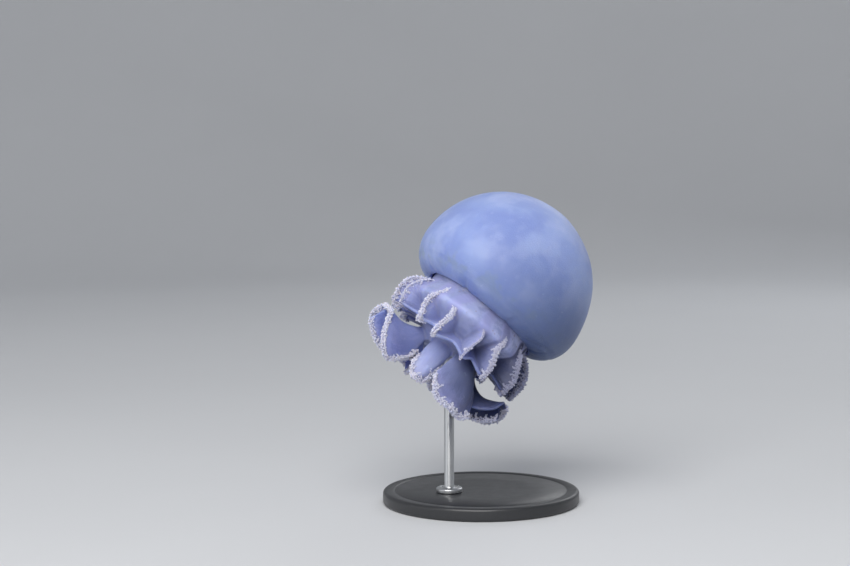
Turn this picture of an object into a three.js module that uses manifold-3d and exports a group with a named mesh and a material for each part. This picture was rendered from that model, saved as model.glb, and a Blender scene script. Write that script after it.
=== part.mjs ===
// Cannonball jellyfish, life size, held over a round base by one steel rod.
// Millimetres, +Z up. The animal is built upright round its own Z axis with the bell's apex on top,
// then leaned over as one group. The origin is the middle of the base's underside.

import * as THREE from 'three';
import { mergeVertices } from 'three/addons/utils/BufferGeometryUtils.js';
import Module from 'manifold-3d';

const wasm = await Module();
wasm.setup();

// ---- driving dimensions -------------------------------------------------------------------------

const gap = 0.3;                    // clearance kept between neighbouring pieces

const bellRadius = 56.2;             // at the widest level
const domeHeight = 56.4;             // widest level to apex
const widestLevel = -9;             // height of the widest level above the animal's own origin
const domeFullness = 1.96;          // superellipse exponent: 2 is an ellipse, more is boxier
const cornerWidth = 19.2;            // how far the flank rolls in to the lip
const cornerDepth = 23;             // how far the lip hangs under the widest level
const lipThickness = 5;
const cavityRadius = 46.5;          // widest radius of the hollow under the bell
const cavityHeight = 23;            // widest level to ceiling
const ceilingRadius = 30;           // flat middle of the ceiling, where the manubrium hangs
const shoulderCut = 4;              // level of the cut between the bell's shoulder and its flank
const marginCut = -20;              // level of the cut between its flank and its margin
const sag = { outward: 2.4, down: 4.5, azimuth: 45 };   // how far the margin swells and hangs there
const lean = { bank: 38, back: 18, spin: -4 };   // degrees: to the right, apex away, round its own axis

const bellSegments = 32;

// The manubrium, from the ceiling of the hollow down to its foot. Swells and the neck grow between
// two levels each.
const stalk = {
  radius: 26,                       // up in the hollow
  topFlare: 3, topFlareLevels: [2, 14],
  mouthSwell: 8.6, mouthSwellLevels: [-15, -27],    // where it fills the bell's mouth
  lowerSwell: 2.4, lowerSwellLevels: [-30, -38],    // between the scapulets
  waistRadius: 19.5, neckLevels: [-46, -60],        // between scapulets and arms
  footFlare: 2.5, footFlareLevels: [-60, -68],
  foot: -68,
  footHollow: 5,                    // how far the middle of the foot is hollowed
  segments: 26,
};

const unitCount = 8;                // body plan: eight arms, each under a pair of scapulets
const unitAngle = 360 / unitCount;
const frontUnit = -67.5;            // azimuth of unit 1, 0 facing the front, positive to the right

const scapulet = {
  corner: [23.5, -55.5],            // radius and level of the fan's lower inner corner
  outward: 26.2,                    // from that corner out to the rim
  upward: 21.6,                     // from that corner straight up to the rim
  squareness: 4,                    // superellipse exponent of the rim
  spacing: 9.5,                     // degrees either side of the pair's azimuth
  turned: -3,                       // the pairs stand this much to the left of the arms
  rootThickness: 7.6,
  rimThickness: 2.2,
  ruffle: 1.6,
  sway: 1.8,                        // how far the rim leans sideways
  dip: 1.5,                         // how much lower than its corner every fan's rim ends
  hang: 17,                         // and how much more where the fans hang furthest
  hangAzimuth: 20,
  hangPower: 2,                     // the more, the narrower the arc that hangs
  lift: 0.27,                       // how much of that drop the fan's top edge makes up
};

const arm = {
  root: [15, -59],                  // radius and level where the ridge leaves the stalk
  halfAngle: 19.9,                  // degrees either side, so neighbours stay apart
  ridgeThickness: 6,
  rimThickness: 2.2,
  ruffle: 1.3,
  keelThickness: 2.6,
  sideLength: 0.45,                 // how long the hood is at its sides, as a part of its middle
  foldRate: 1.6,                    // how soon along the arm the hood has folded down in full
  rootWidth: 0.74,                  // how wide the hood is at its root, as a part of the even width
};

// One row for each arm: how far it swings to the right of its even place in degrees, how wide it is
// as a part of the even width, how much shorter its left side is as a part of its length, knee and
// tip of its ridge (radius, level), how deep its hood folds down at the sides, how much deeper it
// folds on its right as a part of that, and how deep its keel hangs under the ridge.
const armPoses = [
  { swing: 2, width: 1.2, shortSide: 0, knee: [36, -76], tip: [52.5, -66], hood: 13, rightFold: 1, keel: 21 },
  { swing: 8, width: 0.8, shortSide: 0.2, knee: [30, -67], tip: [35.5, -97], hood: 5, rightFold: 0, keel: 9 },
  { swing: 4.5, width: 1.34, shortSide: 0, knee: [36, -68], tip: [46, -100.5], hood: 4, rightFold: 0, keel: 10 },
  { swing: 3, width: 0.85, shortSide: 0, knee: [27, -86], tip: [50.5, -70], hood: 11, rightFold: 0, keel: 15 },
  { swing: 3, width: 0.8, shortSide: 0, knee: [20, -80], tip: [39, -78], hood: 7, rightFold: 0, keel: 9 },
  { swing: 0, width: 1, shortSide: 0, knee: [35, -66], tip: [47, -79], hood: 11, rightFold: 0, keel: 15 },
  { swing: 0, width: 1, shortSide: 0, knee: [35, -66], tip: [48, -77], hood: 11, rightFold: 0, keel: 15 },
  { swing: 0, width: 1, shortSide: 0, knee: [36, -67], tip: [50, -71], hood: 12, rightFold: 0, keel: 17 },
];

const base = { radius: 60, height: 8, bevel: 1.5 };
const rod = { radius: 3, flangeRadius: 8, flangeHeight: 3 };
const groundClearance = 45;         // lowest arm above the base's top

// ---- finishes -----------------------------------------------------------------------------------

const finish = (color, roughness, metalness = 0) => () =>
  new THREE.MeshStandardMaterial({ color, roughness, metalness });

const milkyJelly = finish('#8c9fd6', 0.25);
const paleJelly = finish('#9ba6dc', 0.3);
const stalkJelly = finish('#7f8fc6', 0.35);
const frilledJelly = finish('#b9bbe6', 0.45);
const darkStand = finish('#26282c', 0.4);
const brushedSteel = finish('#b9bcc0', 0.3, 1);

// ---- small helpers ------------------------------------------------------------------------------

const { degToRad: rad, lerp } = THREE.MathUtils;
const steps = (count) => Array.from({ length: count + 1 }, (_, i) => i / count);
const ease = (x) => THREE.MathUtils.smoothstep(x, 0, 1);

// How much an azimuth faces another one: 1 there, 0 opposite.
const facing = (azimuth, towards) => (1 + Math.cos(rad(azimuth - towards))) / 2;

// A closed manifold solid from a geometry whose shared vertices are merged.
function solid(geometry) {
  geometry.deleteAttribute('normal');
  geometry.deleteAttribute('uv');
  const merged = mergeVertices(geometry, 1e-4);
  const mesh = new wasm.Mesh({
    numProp: 3,
    vertProperties: new Float32Array(merged.attributes.position.array),
    triVerts: new Uint32Array(merged.index.array),
  });
  return new wasm.Manifold(mesh);
}

function geometryOf(manifold) {
  const mesh = manifold.getMesh();
  const geometry = new THREE.BufferGeometry();
  geometry.setAttribute('position', new THREE.BufferAttribute(new Float32Array(mesh.vertProperties), 3));
  geometry.setIndex(new THREE.BufferAttribute(new Uint32Array(mesh.triVerts), 1));
  geometry.computeVertexNormals();
  return geometry;
}

// The largest body of a cut solid, which leaves crumbs of the cut behind.
function largest(manifold) {
  const bodies = manifold.decompose();
  return bodies.reduce((best, body) => (body.volume() > best.volume() ? body : best));
}

function piece(name, geometry, material) {
  const mesh = new THREE.Mesh(geometry, material());
  mesh.name = name;
  return mesh;
}

// A sheet of flesh: the middle surface place(a, q) for a and q in 0..1, thickened by half of
// thickness(a, q) to both sides along its own normal, with its four edges closed.
function sheetGeometry(place, thickness, alongCount, acrossCount) {
  const positions = [];
  const index = [];
  const small = 1e-3;
  const row = acrossCount + 1;
  const sideSize = (alongCount + 1) * row;
  for (const side of [1, -1]) {
    for (const a of steps(alongCount)) {
      for (const q of steps(acrossCount)) {
        const centre = place(a, q);
        const stepA = a < 0.5 ? small : -small;
        const stepQ = q < 0.5 ? small : -small;
        const alongWay = place(a + stepA, q).sub(centre).divideScalar(stepA);
        const acrossWay = place(a, q + stepQ).sub(centre).divideScalar(stepQ);
        const normal = alongWay.cross(acrossWay).normalize();
        centre.addScaledVector(normal, side * thickness(a, q) / 2);
        positions.push(centre.x, centre.y, centre.z);
      }
    }
  }
  const at = (side, i, j) => side * sideSize + i * row + j;
  for (let i = 0; i < alongCount; i++) {
    for (let j = 0; j < acrossCount; j++) {
      index.push(at(0, i, j), at(0, i + 1, j), at(0, i + 1, j + 1));
      index.push(at(0, i, j), at(0, i + 1, j + 1), at(0, i, j + 1));
      index.push(at(1, i, j), at(1, i + 1, j + 1), at(1, i + 1, j));
      index.push(at(1, i, j), at(1, i, j + 1), at(1, i + 1, j + 1));
    }
  }
  const edge = [];
  for (let i = 0; i < alongCount; i++) edge.push([i, 0]);
  for (let j = 0; j < acrossCount; j++) edge.push([alongCount, j]);
  for (let i = alongCount; i > 0; i--) edge.push([i, acrossCount]);
  for (let j = acrossCount; j > 0; j--) edge.push([0, j]);
  edge.forEach(([i, j], k) => {
    const [iNext, jNext] = edge[(k + 1) % edge.length];
    index.push(at(0, i, j), at(1, iNext, jNext), at(0, iNext, jNext));
    index.push(at(0, i, j), at(1, i, j), at(1, iNext, jNext));
  });
  const geometry = new THREE.BufferGeometry();
  geometry.setAttribute('position', new THREE.Float32BufferAttribute(positions, 3));
  geometry.setIndex(index);
  return geometry;
}

// ---- bell ---------------------------------------------------------------------------------------

const lipLevel = widestLevel - cornerDepth;
const lipRadius = bellRadius - cornerWidth;

// Outside of the bell at a level: a superellipse dome over a rolled-in elliptic corner.
function bellRadiusAt(level) {
  if (level >= widestLevel) {
    const rise = (level - widestLevel) / domeHeight;
    return bellRadius * Math.max(0, 1 - rise ** domeFullness) ** (1 / domeFullness);
  }
  const drop = Math.min(1, (widestLevel - level) / cornerDepth);
  return lipRadius + cornerWidth * Math.sqrt(1 - drop * drop);
}

// Hollow under the bell at a level: an elliptic vault round the flat of the ceiling, narrowing to
// the lip below the widest level.
function cavityRadiusAt(level) {
  if (level >= widestLevel) {
    const rise = Math.min(1, (level - widestLevel) / cavityHeight);
    return ceilingRadius + (cavityRadius - ceilingRadius) * Math.sqrt(1 - rise * rise);
  }
  const drop = Math.min(1, (widestLevel - level) / (cornerDepth - lipThickness / 2));
  return lipRadius + (cavityRadius - lipRadius) * Math.sqrt(1 - drop * drop);
}

// The bell isn't quite even: its front right swells and hangs, most at the margin.
function sagRight(geometry) {
  const position = geometry.attributes.position;
  const point = new THREE.Vector3();
  for (let i = 0; i < position.count; i++) {
    point.fromBufferAttribute(position, i);
    const radius = Math.max(1e-6, Math.hypot(point.x, point.y));
    const azimuth = THREE.MathUtils.radToDeg(Math.atan2(point.x, -point.y));
    const side = facing(azimuth, sag.azimuth) ** 2;
    const amount = side * ease((14 - point.z) / 40) * Math.min(1, radius / lipRadius);
    const stretch = 1 + sag.outward * amount / radius;
    position.setXYZ(i, point.x * stretch, point.y * stretch, point.z - sag.down * amount);
  }
  return geometry;
}

// Profile points for a revolved piece, from radius and level pairs.
const revolve = (points, segments) =>
  new THREE.LatheGeometry(points.map(([radius, level]) => new THREE.Vector2(radius, level)), segments)
    .rotateX(Math.PI / 2);

// The solid cap of the bell, above the ceiling of its hollow.
function bellCrown() {
  const ceiling = widestLevel + cavityHeight;
  const apex = widestLevel + domeHeight;
  const outside = steps(5).map((t) => {
    const level = ceiling + (apex - ceiling) * Math.sin(t * Math.PI / 2);
    return [t === 1 ? 0 : bellRadiusAt(level), level];
  });
  return piece('bell_crown', revolve([[0, ceiling], ...outside], bellSegments), milkyJelly);
}

// A ring of the bell's wall between two levels.
function bellRing(name, top, bottom, rows) {
  const levels = steps(rows).map((t) => bottom + (top - bottom) * t);
  const outside = levels.map((level) => [bellRadiusAt(level), level]);
  const inside = levels.reverse().map((level) => [cavityRadiusAt(level), level]);
  return piece(name, sagRight(revolve([...outside, ...inside, outside[0]], bellSegments)), milkyJelly);
}

const bellShoulder = () => bellRing('bell_shoulder', widestLevel + cavityHeight - gap, shoulderCut, 2);
const bellFlank = () => bellRing('bell_flank', shoulderCut - gap, marginCut, 2);

function bellMargin() {
  const top = marginCut - gap;
  const outside = steps(4).map((t) => {
    const level = lipLevel + (top - lipLevel) * (1 - Math.cos(t * Math.PI / 2));
    return [bellRadiusAt(level), level];
  });
  const innerFoot = lipLevel + lipThickness / 2;
  const inside = steps(3).map((t) => {
    const level = top + (innerFoot - top) * Math.sin(t * Math.PI / 2);
    return [cavityRadiusAt(level) - (t > 0 ? 1.5 * t : 0), level];
  });
  const ring = [...outside, ...inside];
  return piece('bell_margin', sagRight(revolve([...ring, ring[0]], bellSegments)), paleJelly);
}

// ---- manubrium, the thick mouth stalk -----------------------------------------------------------

// Stalk radius at a level: straight under the bell's ceiling, swollen in and under the bell's mouth,
// necked at the waist and flared at both ends.
function stalkRadiusAt(level) {
  const grown = ([from, to]) => ease((level - from) / (to - from));
  const full = stalk.radius + stalk.mouthSwell * grown(stalk.mouthSwellLevels)
    + stalk.lowerSwell * grown(stalk.lowerSwellLevels);
  return lerp(full, stalk.waistRadius, grown(stalk.neckLevels))
    + stalk.topFlare * grown(stalk.topFlareLevels) + stalk.footFlare * grown(stalk.footFlareLevels);
}

function stalkProfile(clearance) {
  const { foot, footHollow } = stalk;
  const top = widestLevel + cavityHeight - 2 * gap;
  const side = steps(11).map((t) => {
    const level = lerp(foot, top, t);
    return [stalkRadiusAt(level) + clearance, level + (2 * t - 1) * clearance];
  });
  const sole = [[0, foot + footHollow - clearance], [9, foot + 2 - clearance]];
  return [...sole, ...side, [0, top + clearance]];
}

const manubrium = () => piece('manubrium', revolve(stalkProfile(0), stalk.segments), stalkJelly);
const stalkClearance = () => solid(revolve(stalkProfile(gap), stalk.segments));

// ---- scapulets: sixteen upright fans with a frilled outer edge ----------------------------------

// A fan's middle surface is a quarter superellipse, from straight out at a = 0 to straight up at
// a = 1, whose outer end hangs below its root. Its rim waves sideways one and a half times.

function scapuletMesh(name, azimuth, turn, phase) {
  const [cornerRadius, cornerLevel] = scapulet.corner;
  const power = 2 / scapulet.squareness;
  const drop = scapulet.dip + scapulet.hang * facing(azimuth, scapulet.hangAzimuth) ** scapulet.hangPower;
  const place = (a, q) => {
    const angle = THREE.MathUtils.clamp(a, 0, 1) * Math.PI / 2;
    const reach = 0.06 + 0.94 * q;
    const outwards = reach * Math.cos(angle) ** power;
    const upwards = reach * Math.sin(angle) ** power;
    const wave = scapulet.ruffle * q * q * Math.sin(2 * Math.PI * (1.5 * a + phase));
    const lean = scapulet.sway * q * Math.sin(9 * turn);
    return new THREE.Vector3(
      cornerRadius + scapulet.outward * outwards,
      wave + lean,
      cornerLevel - drop * outwards + (scapulet.upward + scapulet.lift * drop) * upwards,
    );
  };
  const thickness = (a, q) => lerp(scapulet.rootThickness, scapulet.rimThickness, q * q);
  const fan = solid(sheetGeometry(place, thickness, 7, 3));
  const mesh = piece(name, geometryOf(largest(fan.subtract(stalkClearance()))), paleJelly);
  mesh.rotation.z = rad(azimuth - 90);
  return mesh;
}

// ---- oral arms: a ridged hood with a keel under it ----------------------------------------------

// Ridge of an arm at s in 0..1: a bent line from root over knee to tip, with its oral side normal.
function ridge(pose, s) {
  const curve = new THREE.QuadraticBezierCurve(
    new THREE.Vector2(...arm.root),
    new THREE.Vector2(...pose.knee),
    new THREE.Vector2(...pose.tip),
  );
  const point = curve.getPoint(s);
  const tangent = curve.getTangent(Math.min(1, Math.max(0, s)));
  return { radius: point.x, level: point.y, oralRadius: tangent.y, oralLevel: -tangent.x };
}

// Hood: the ridge carried sideways by an angle, dropping to the oral side as the square of it.
function hoodPlace(pose, turn) {
  return (a, q) => {
    const side = 2 * q - 1;
    const tongue = lerp(arm.sideLength, 1, Math.sqrt(Math.max(0, 1 - side ** 4)));
    const s = a * tongue * (1 + pose.shortSide * Math.min(0, side));
    const { radius, level, oralRadius, oralLevel } = ridge(pose, s);
    const deeper = 1 + pose.rightFold * ease(side);
    const drop = pose.hood * deeper * ease(s * arm.foldRate) * side * side;
    const rim = Math.max(side ** 4, a ** 5);
    const wave = arm.ruffle * rim * Math.sin(2 * Math.PI * (2.2 * a + 1.3 * side + turn));
    const fromAxis = radius + (drop + wave) * oralRadius;
    const spread = lerp(arm.rootWidth, 1, ease(s * 3)) + (pose.width - 1) * ease(s * 2.2 - 0.6);
    const angle = rad(arm.halfAngle) * side * spread;
    return new THREE.Vector3(
      fromAxis * Math.cos(angle),
      fromAxis * Math.sin(angle),
      level + (drop + wave) * oralLevel,
    );
  };
}

// Keel: a fin hanging from the ridge on its oral side, deepest in the middle.
function keelPlace(pose, turn) {
  return (a, q) => {
    const { radius, level, oralRadius, oralLevel } = ridge(pose, 0.12 + 0.8 * a);
    const depth = pose.keel * (0.45 + 0.55 * Math.sin(Math.PI * (0.15 + 0.75 * a))) * q;
    const wave = arm.ruffle * q * q * Math.sin(2 * Math.PI * (1.7 * a + turn));
    return new THREE.Vector3(radius + depth * oralRadius, wave, level + depth * oralLevel);
  };
}

function armMesh(name, azimuth, pose, turn, cuts) {
  const hoodThickness = (a, q) => {
    const side = Math.abs(2 * q - 1);
    return lerp(arm.ridgeThickness, arm.rimThickness, Math.max(side, a));
  };
  const keelThickness = (a, q) => lerp(arm.keelThickness, arm.rimThickness, q);
  const hood = solid(sheetGeometry(hoodPlace(pose, turn), hoodThickness, 6, 8));
  const keel = solid(sheetGeometry(keelPlace(pose, turn), keelThickness, 7, 3));
  const mesh = piece(name, new THREE.BufferGeometry(), frilledJelly);
  mesh.rotation.z = rad(azimuth - 90);
  mesh.geometry = geometryOf(largest(cuts.reduce((flesh, cut) => flesh.subtract(cut(mesh)), hood.add(keel))));
  return mesh;
}

// ---- stand --------------------------------------------------------------------------------------

function standBase() {
  const { radius, height, bevel } = base;
  const profile = [[0, 0], [radius - bevel, 0], [radius, bevel], [radius, height - bevel],
    [radius - bevel, height], [0, height]];
  return piece('stand_base', revolve(profile, 48), darkStand);
}

// ---- assembly -----------------------------------------------------------------------------------

const model = new THREE.Group();
const animal = new THREE.Group();
animal.rotation.set(rad(-lean.back), rad(lean.bank), rad(lean.spin), 'YXZ');
animal.updateMatrixWorld(true);
model.add(animal);

animal.add(bellCrown(), bellShoulder(), bellFlank(), bellMargin(), manubrium());

// Where the rod meets the animal: the middle of the stalk's foot, seen from below.
const rodTouch = new THREE.Vector3(0, 0, stalk.foot + stalk.footHollow).applyMatrix4(animal.matrixWorld);

// The rod's way up between the arms, in an arm's own place, with clearance round it.
function rodWay(mesh) {
  const way = new THREE.CylinderGeometry(rod.radius + 2 * gap, rod.radius + 2 * gap, 200, 16);
  way.rotateX(Math.PI / 2).translate(rodTouch.x, rodTouch.y, rodTouch.z - 100);
  mesh.updateMatrix();
  const toArm = new THREE.Matrix4().multiplyMatrices(animal.matrixWorld, mesh.matrix).invert();
  return solid(way.applyMatrix4(toArm));
}

for (let unit = 0; unit < unitCount; unit++) {
  const azimuth = frontUnit + unit * unitAngle;
  const turn = (unit * 0.37) % 1;
  const pose = armPoses[unit];
  animal.add(armMesh(`oral_arm_${unit + 1}`, azimuth + pose.swing, pose, turn, [stalkClearance, rodWay]));
  const pair = azimuth + scapulet.turned;
  animal.add(scapuletMesh(`scapulet_${unit + 1}_left`, pair - scapulet.spacing, turn, turn));
  animal.add(scapuletMesh(`scapulet_${unit + 1}_right`, pair + scapulet.spacing, turn, turn + 0.5));
}

// Lift the animal over the base and centre it there.
model.updateMatrixWorld(true);
const box = new THREE.Box3().setFromObject(animal, true);
const centre = box.getCenter(new THREE.Vector3());
animal.position.set(-centre.x, -centre.y, base.height + groundClearance - box.min.z);

// The rod stands on the base under the stalk, and its top is cut to the stalk's foot.
function standRod() {
  const foot = base.height + gap;
  const top = rodTouch.z + animal.position.z;
  const profile = [[0, foot], [rod.flangeRadius, foot], [rod.flangeRadius, foot + rod.flangeHeight],
    [rod.radius, foot + rod.flangeHeight], [rod.radius, top], [0, top]];
  const mesh = piece('stand_rod', new THREE.BufferGeometry(), brushedSteel);
  mesh.position.set(rodTouch.x + animal.position.x, rodTouch.y + animal.position.y, 0);
  mesh.updateMatrix();
  const toRod = new THREE.Matrix4().multiplyMatrices(mesh.matrix.invert(), animal.matrixWorld);
  const cut = stalkClearance().transform(toRod.elements);
  mesh.geometry = geometryOf(largest(solid(revolve(profile, 24)).subtract(cut)));
  return mesh;
}

model.updateMatrixWorld(true);
model.add(standBase(), standRod());

export default model;
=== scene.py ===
# Cannonball jellyfish, life size, banking as it swims, held over a round base by one steel rod.
# Shapes are worked out in millimetres in the animal's own frame, with the bell's axis along Z and
# azimuth 0 at its front, then leaned over and set in place in metres.

import math

import bmesh
import bpy
import numpy as np
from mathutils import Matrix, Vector
from mathutils.kdtree import KDTree


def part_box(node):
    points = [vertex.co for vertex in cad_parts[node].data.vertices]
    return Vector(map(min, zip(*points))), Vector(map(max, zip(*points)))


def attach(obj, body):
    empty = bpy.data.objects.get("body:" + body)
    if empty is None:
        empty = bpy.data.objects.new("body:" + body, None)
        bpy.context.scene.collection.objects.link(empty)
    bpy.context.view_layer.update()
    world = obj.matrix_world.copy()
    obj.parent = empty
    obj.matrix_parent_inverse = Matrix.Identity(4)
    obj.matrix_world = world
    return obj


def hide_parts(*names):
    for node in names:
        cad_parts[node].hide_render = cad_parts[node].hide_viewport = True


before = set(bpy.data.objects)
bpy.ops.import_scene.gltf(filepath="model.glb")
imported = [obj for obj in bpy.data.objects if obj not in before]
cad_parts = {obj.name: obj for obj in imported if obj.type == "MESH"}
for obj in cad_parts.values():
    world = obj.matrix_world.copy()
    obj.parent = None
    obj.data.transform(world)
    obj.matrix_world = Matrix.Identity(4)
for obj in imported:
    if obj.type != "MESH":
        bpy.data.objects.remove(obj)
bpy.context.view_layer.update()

mm = 0.001
leanPose = {"bank": 38.0, "back": 18.0, "spin": -4.0}   # degrees: to the right, apex away, own axis

# the camera looks a little down at the middle of the animal
cameraView = {
    "angle": 24.0,            # degrees across the frame
    "distance": 1.212,        # metres from the middle of the animal
    "elevation": 6.0,         # degrees over the level
    "shift": (-0.0660, 0.0258),
    "sensor": 36.0,
    "nearest": 0.05,
    "furthest": 20.0,
}


def fleshNodes():
    return [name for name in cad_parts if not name.startswith("stand_")]


def boxOf(names):
    boxes = [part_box(name) for name in names]
    low = np.min([np.array(low) for low, high in boxes], axis=0)
    high = np.max([np.array(high) for low, high in boxes], axis=0)
    return low, high


def makeCamera():
    low, high = boxOf(fleshNodes())
    middle = Vector((low + high) / 2)
    tilt = math.radians(cameraView["elevation"])
    back = Vector((0, -math.cos(tilt), math.sin(tilt)))
    data = bpy.data.cameras.new("camera")
    data.sensor_width = cameraView["sensor"]
    data.lens = cameraView["sensor"] / 2 / math.tan(math.radians(cameraView["angle"] / 2))
    data.shift_x, data.shift_y = cameraView["shift"]
    data.clip_start = cameraView["nearest"]
    data.clip_end = cameraView["furthest"]
    camera = bpy.data.objects.new("camera", data)
    camera.location = middle + back * cameraView["distance"]
    camera.rotation_euler = (-back).to_track_quat("-Z", "Y").to_euler()
    bpy.context.collection.objects.link(camera)
    bpy.context.scene.camera = camera
    return middle


animalMiddle = makeCamera()


def ease(x):
    # smooth step from 0 to 1
    x = np.clip(x, 0.0, 1.0)
    return x * x * (3 - 2 * x)


def lerp(a, b, t):
    return a + (b - a) * t


def unit(v):
    return v / np.maximum(np.linalg.norm(v, axis=-1, keepdims=True), 1e-9)


def meshOf(name, points, faceSets):
    # faceSets is a list of arrays of triangles or quads
    mesh = bpy.data.meshes.new(name)
    mesh.vertices.add(len(points))
    mesh.vertices.foreach_set("co", np.asarray(points, np.float32).ravel())
    corners = np.concatenate([faces.ravel() for faces in faceSets]).astype(np.int32)
    sizes = np.concatenate([np.full(len(faces), faces.shape[1]) for faces in faceSets])
    mesh.loops.add(len(corners))
    mesh.loops.foreach_set("vertex_index", corners)
    mesh.polygons.add(len(sizes))
    starts = np.concatenate([[0], np.cumsum(sizes)[:-1]]).astype(np.int32)
    mesh.polygons.foreach_set("loop_start", starts)
    mesh.update(calc_edges=True)
    return mesh


def showMesh(name, mesh):
    piece = bpy.data.objects.new(name, mesh)
    bpy.context.collection.objects.link(piece)
    mesh.polygons.foreach_set("use_smooth", np.ones(len(mesh.polygons), bool))
    return piece


def pointsOf(mesh):
    points = np.empty(len(mesh.vertices) * 3, np.float32)
    mesh.vertices.foreach_get("co", points)
    return points.reshape(-1, 3).astype(float)


def gridQuads(rows, columns, wrap=False):
    # quads of a grid of points stored row by row; wrap joins the last column to the first
    i, j = np.meshgrid(np.arange(rows - 1), np.arange(columns if wrap else columns - 1), indexing="ij")
    k = (j + 1) % columns
    quads = [i * columns + j, (i + 1) * columns + j, (i + 1) * columns + k, i * columns + k]
    return np.stack(quads, axis=-1).reshape(-1, 4)


def capFaces(pole, start, count):
    # triangles from a pole point to a closed ring of points that are stored from start on
    first = np.arange(count)
    return np.stack([np.full(count, pole), start + first, start + (first + 1) % count], axis=-1)


def closedBody(rings, poles):
    # a grid of closed rings, and the two pole points that close its ends
    rows, columns = rings.shape[:2]
    count = rows * columns
    quads = gridQuads(rows, columns, wrap=True)
    ends = [capFaces(count, 0, columns), capFaces(count + 1, count - columns, columns)[:, [0, 2, 1]]]
    return np.concatenate([rings.reshape(-1, 3), poles]), [quads, np.concatenate(ends)]


def signedVolume(points, faceSets):
    # of a closed shell, negative where it is inside out
    total = 0.0
    for faces in faceSets:
        for k in range(2, faces.shape[1]):
            a, b, c = points[faces[:, 0]], points[faces[:, k - 1]], points[faces[:, k]]
            total += np.einsum("ij,ij->i", a, np.cross(b, c)).sum() / 6
    return total


def facingOut(points, faceSets):
    # turns every face round where the closed shell is inside out
    centred = points - points.mean(axis=0)
    if signedVolume(centred, faceSets) < 0:
        return [faces[:, ::-1] for faces in faceSets]
    return faceSets


def joined(name, shells, scale=1.0):
    # one mesh of several closed shells, each turned the right way out
    allPoints, allFaces, start = [], [], 0
    for points, faceSets in shells:
        allFaces += [faces + start for faces in facingOut(points, faceSets)]
        allPoints.append(points)
        start += len(points)
    return meshOf(name, np.concatenate(allPoints) * scale, allFaces)


def modified(mesh, kind, **settings):
    # the mesh with one modifier applied
    holder = bpy.data.objects.new("holder", mesh)
    bpy.context.collection.objects.link(holder)
    modifier = holder.modifiers.new(kind, kind)
    for key, value in settings.items():
        setattr(modifier, key, value)
    view = bpy.context.evaluated_depsgraph_get()
    result = bpy.data.meshes.new_from_object(holder.evaluated_get(view))
    bpy.data.objects.remove(holder)
    return result


def turnAbout(axis, degrees):
    c, s = math.cos(math.radians(degrees)), math.sin(math.radians(degrees))
    turns = {
        "x": [[1, 0, 0], [0, c, -s], [0, s, c]],
        "y": [[c, 0, s], [0, 1, 0], [-s, 0, c]],
        "z": [[c, -s, 0], [s, c, 0], [0, 0, 1]],
    }
    return np.array(turns[axis])


leanTurn = (
    turnAbout("y", leanPose["bank"])
    @ turnAbout("x", -leanPose["back"])
    @ turnAbout("z", leanPose["spin"]))


def toWorld(points):
    # from the animal's own frame to the world
    return (points @ leanTurn.T) * mm + origin


def azimuthOf(points):
    return np.arctan2(points[:, 0], -points[:, 1])


def roundAxis(radius, azimuth, level):
    # place of a point from its radius, azimuth and level
    return np.stack([radius * np.sin(azimuth), -radius * np.cos(azimuth), level], axis=-1)


bellShape = {
    "radius": 56.2,
    "domeHeight": 56.4,
    "widest": -9.0,           # level of the widest ring
    "fullness": 1.96,         # superellipse exponent of the dome
    "cornerWidth": 19.2,      # how far the flank rolls in to the lip
    "cornerDepth": 23.0,
    "lipThickness": 5.0,
    "cavityRadius": 46.5,
    "cavityHeight": 23.0,
    "ceilingRadius": 30.0,
    "sagOutward": 2.4,
    "sagDown": 4.5,
    "sagAzimuth": 45.0,
    "inset": 0.1,             # skin under the faceted solid's corners
    "outerInset": 0.22,       # and this much more on the outside
    "columns": 264,
    "step": 0.05,             # along the profile while it is worked out
    "spacing": 1.3,           # and between its rows
    "softening": 0.9,         # how widely profile corners are rounded
    "tuck": (1.5, -20.3),     # how far the hollow draws in to the lip, and from which level
    "waves": ((0.12, 3, 0.08, 0.0), (0.1, 5, -0.11, 1.3)),    # depth, count, slant and start
    "calmRadius": 30.0,       # the waves die out from here to the apex
    "lappets": 112,           # fine scallops round the margin
    "lappetDepth": 0.35,
    "lappetHeight": 7.5,
    "senseOrgans": 8,         # notches in the margin, one to each arm
    "notchDepth": 0.9,
    "notchWidth": 0.32,
    "foldFoot": (46.0, -32.0),    # azimuth and level where a soft crease leaves the margin
    "foldTop": (74.0, -25.0),
    "foldDepth": 0.7,
    "foldWidth": 2.4,
    "furrowLevel": -26.0,     # fine furrow round the flank, over the lappets
    "furrowDepth": 0.3,
    "furrowWidth": 0.7,
    "muscleRings": (0.1, 4.2),    # depth and rate of the rings inside the hollow
    "hollowEdge": 31.0,       # radius that parts the hollow from the stalk
    "lipEdge": (35.3, -30.2),     # radius and level of the lip's inner edge
    "collarReach": 5.0,       # height over which the manubrium swells out to it
}
lipLevel = bellShape["widest"] - bellShape["cornerDepth"]
lipRadius = bellShape["radius"] - bellShape["cornerWidth"]
ceilingLevel = bellShape["widest"] + bellShape["cavityHeight"]
apexLevel = bellShape["widest"] + bellShape["domeHeight"]


def animalOrigin():
    # the apex is the crown's furthest vertex along the bell's axis
    crown = pointsOf(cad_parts["bell_crown"].data)
    axis = leanTurn @ np.array([0, 0, 1.0])
    return crown[np.argmax(crown @ axis)] - axis * apexLevel * mm


origin = animalOrigin()

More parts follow.
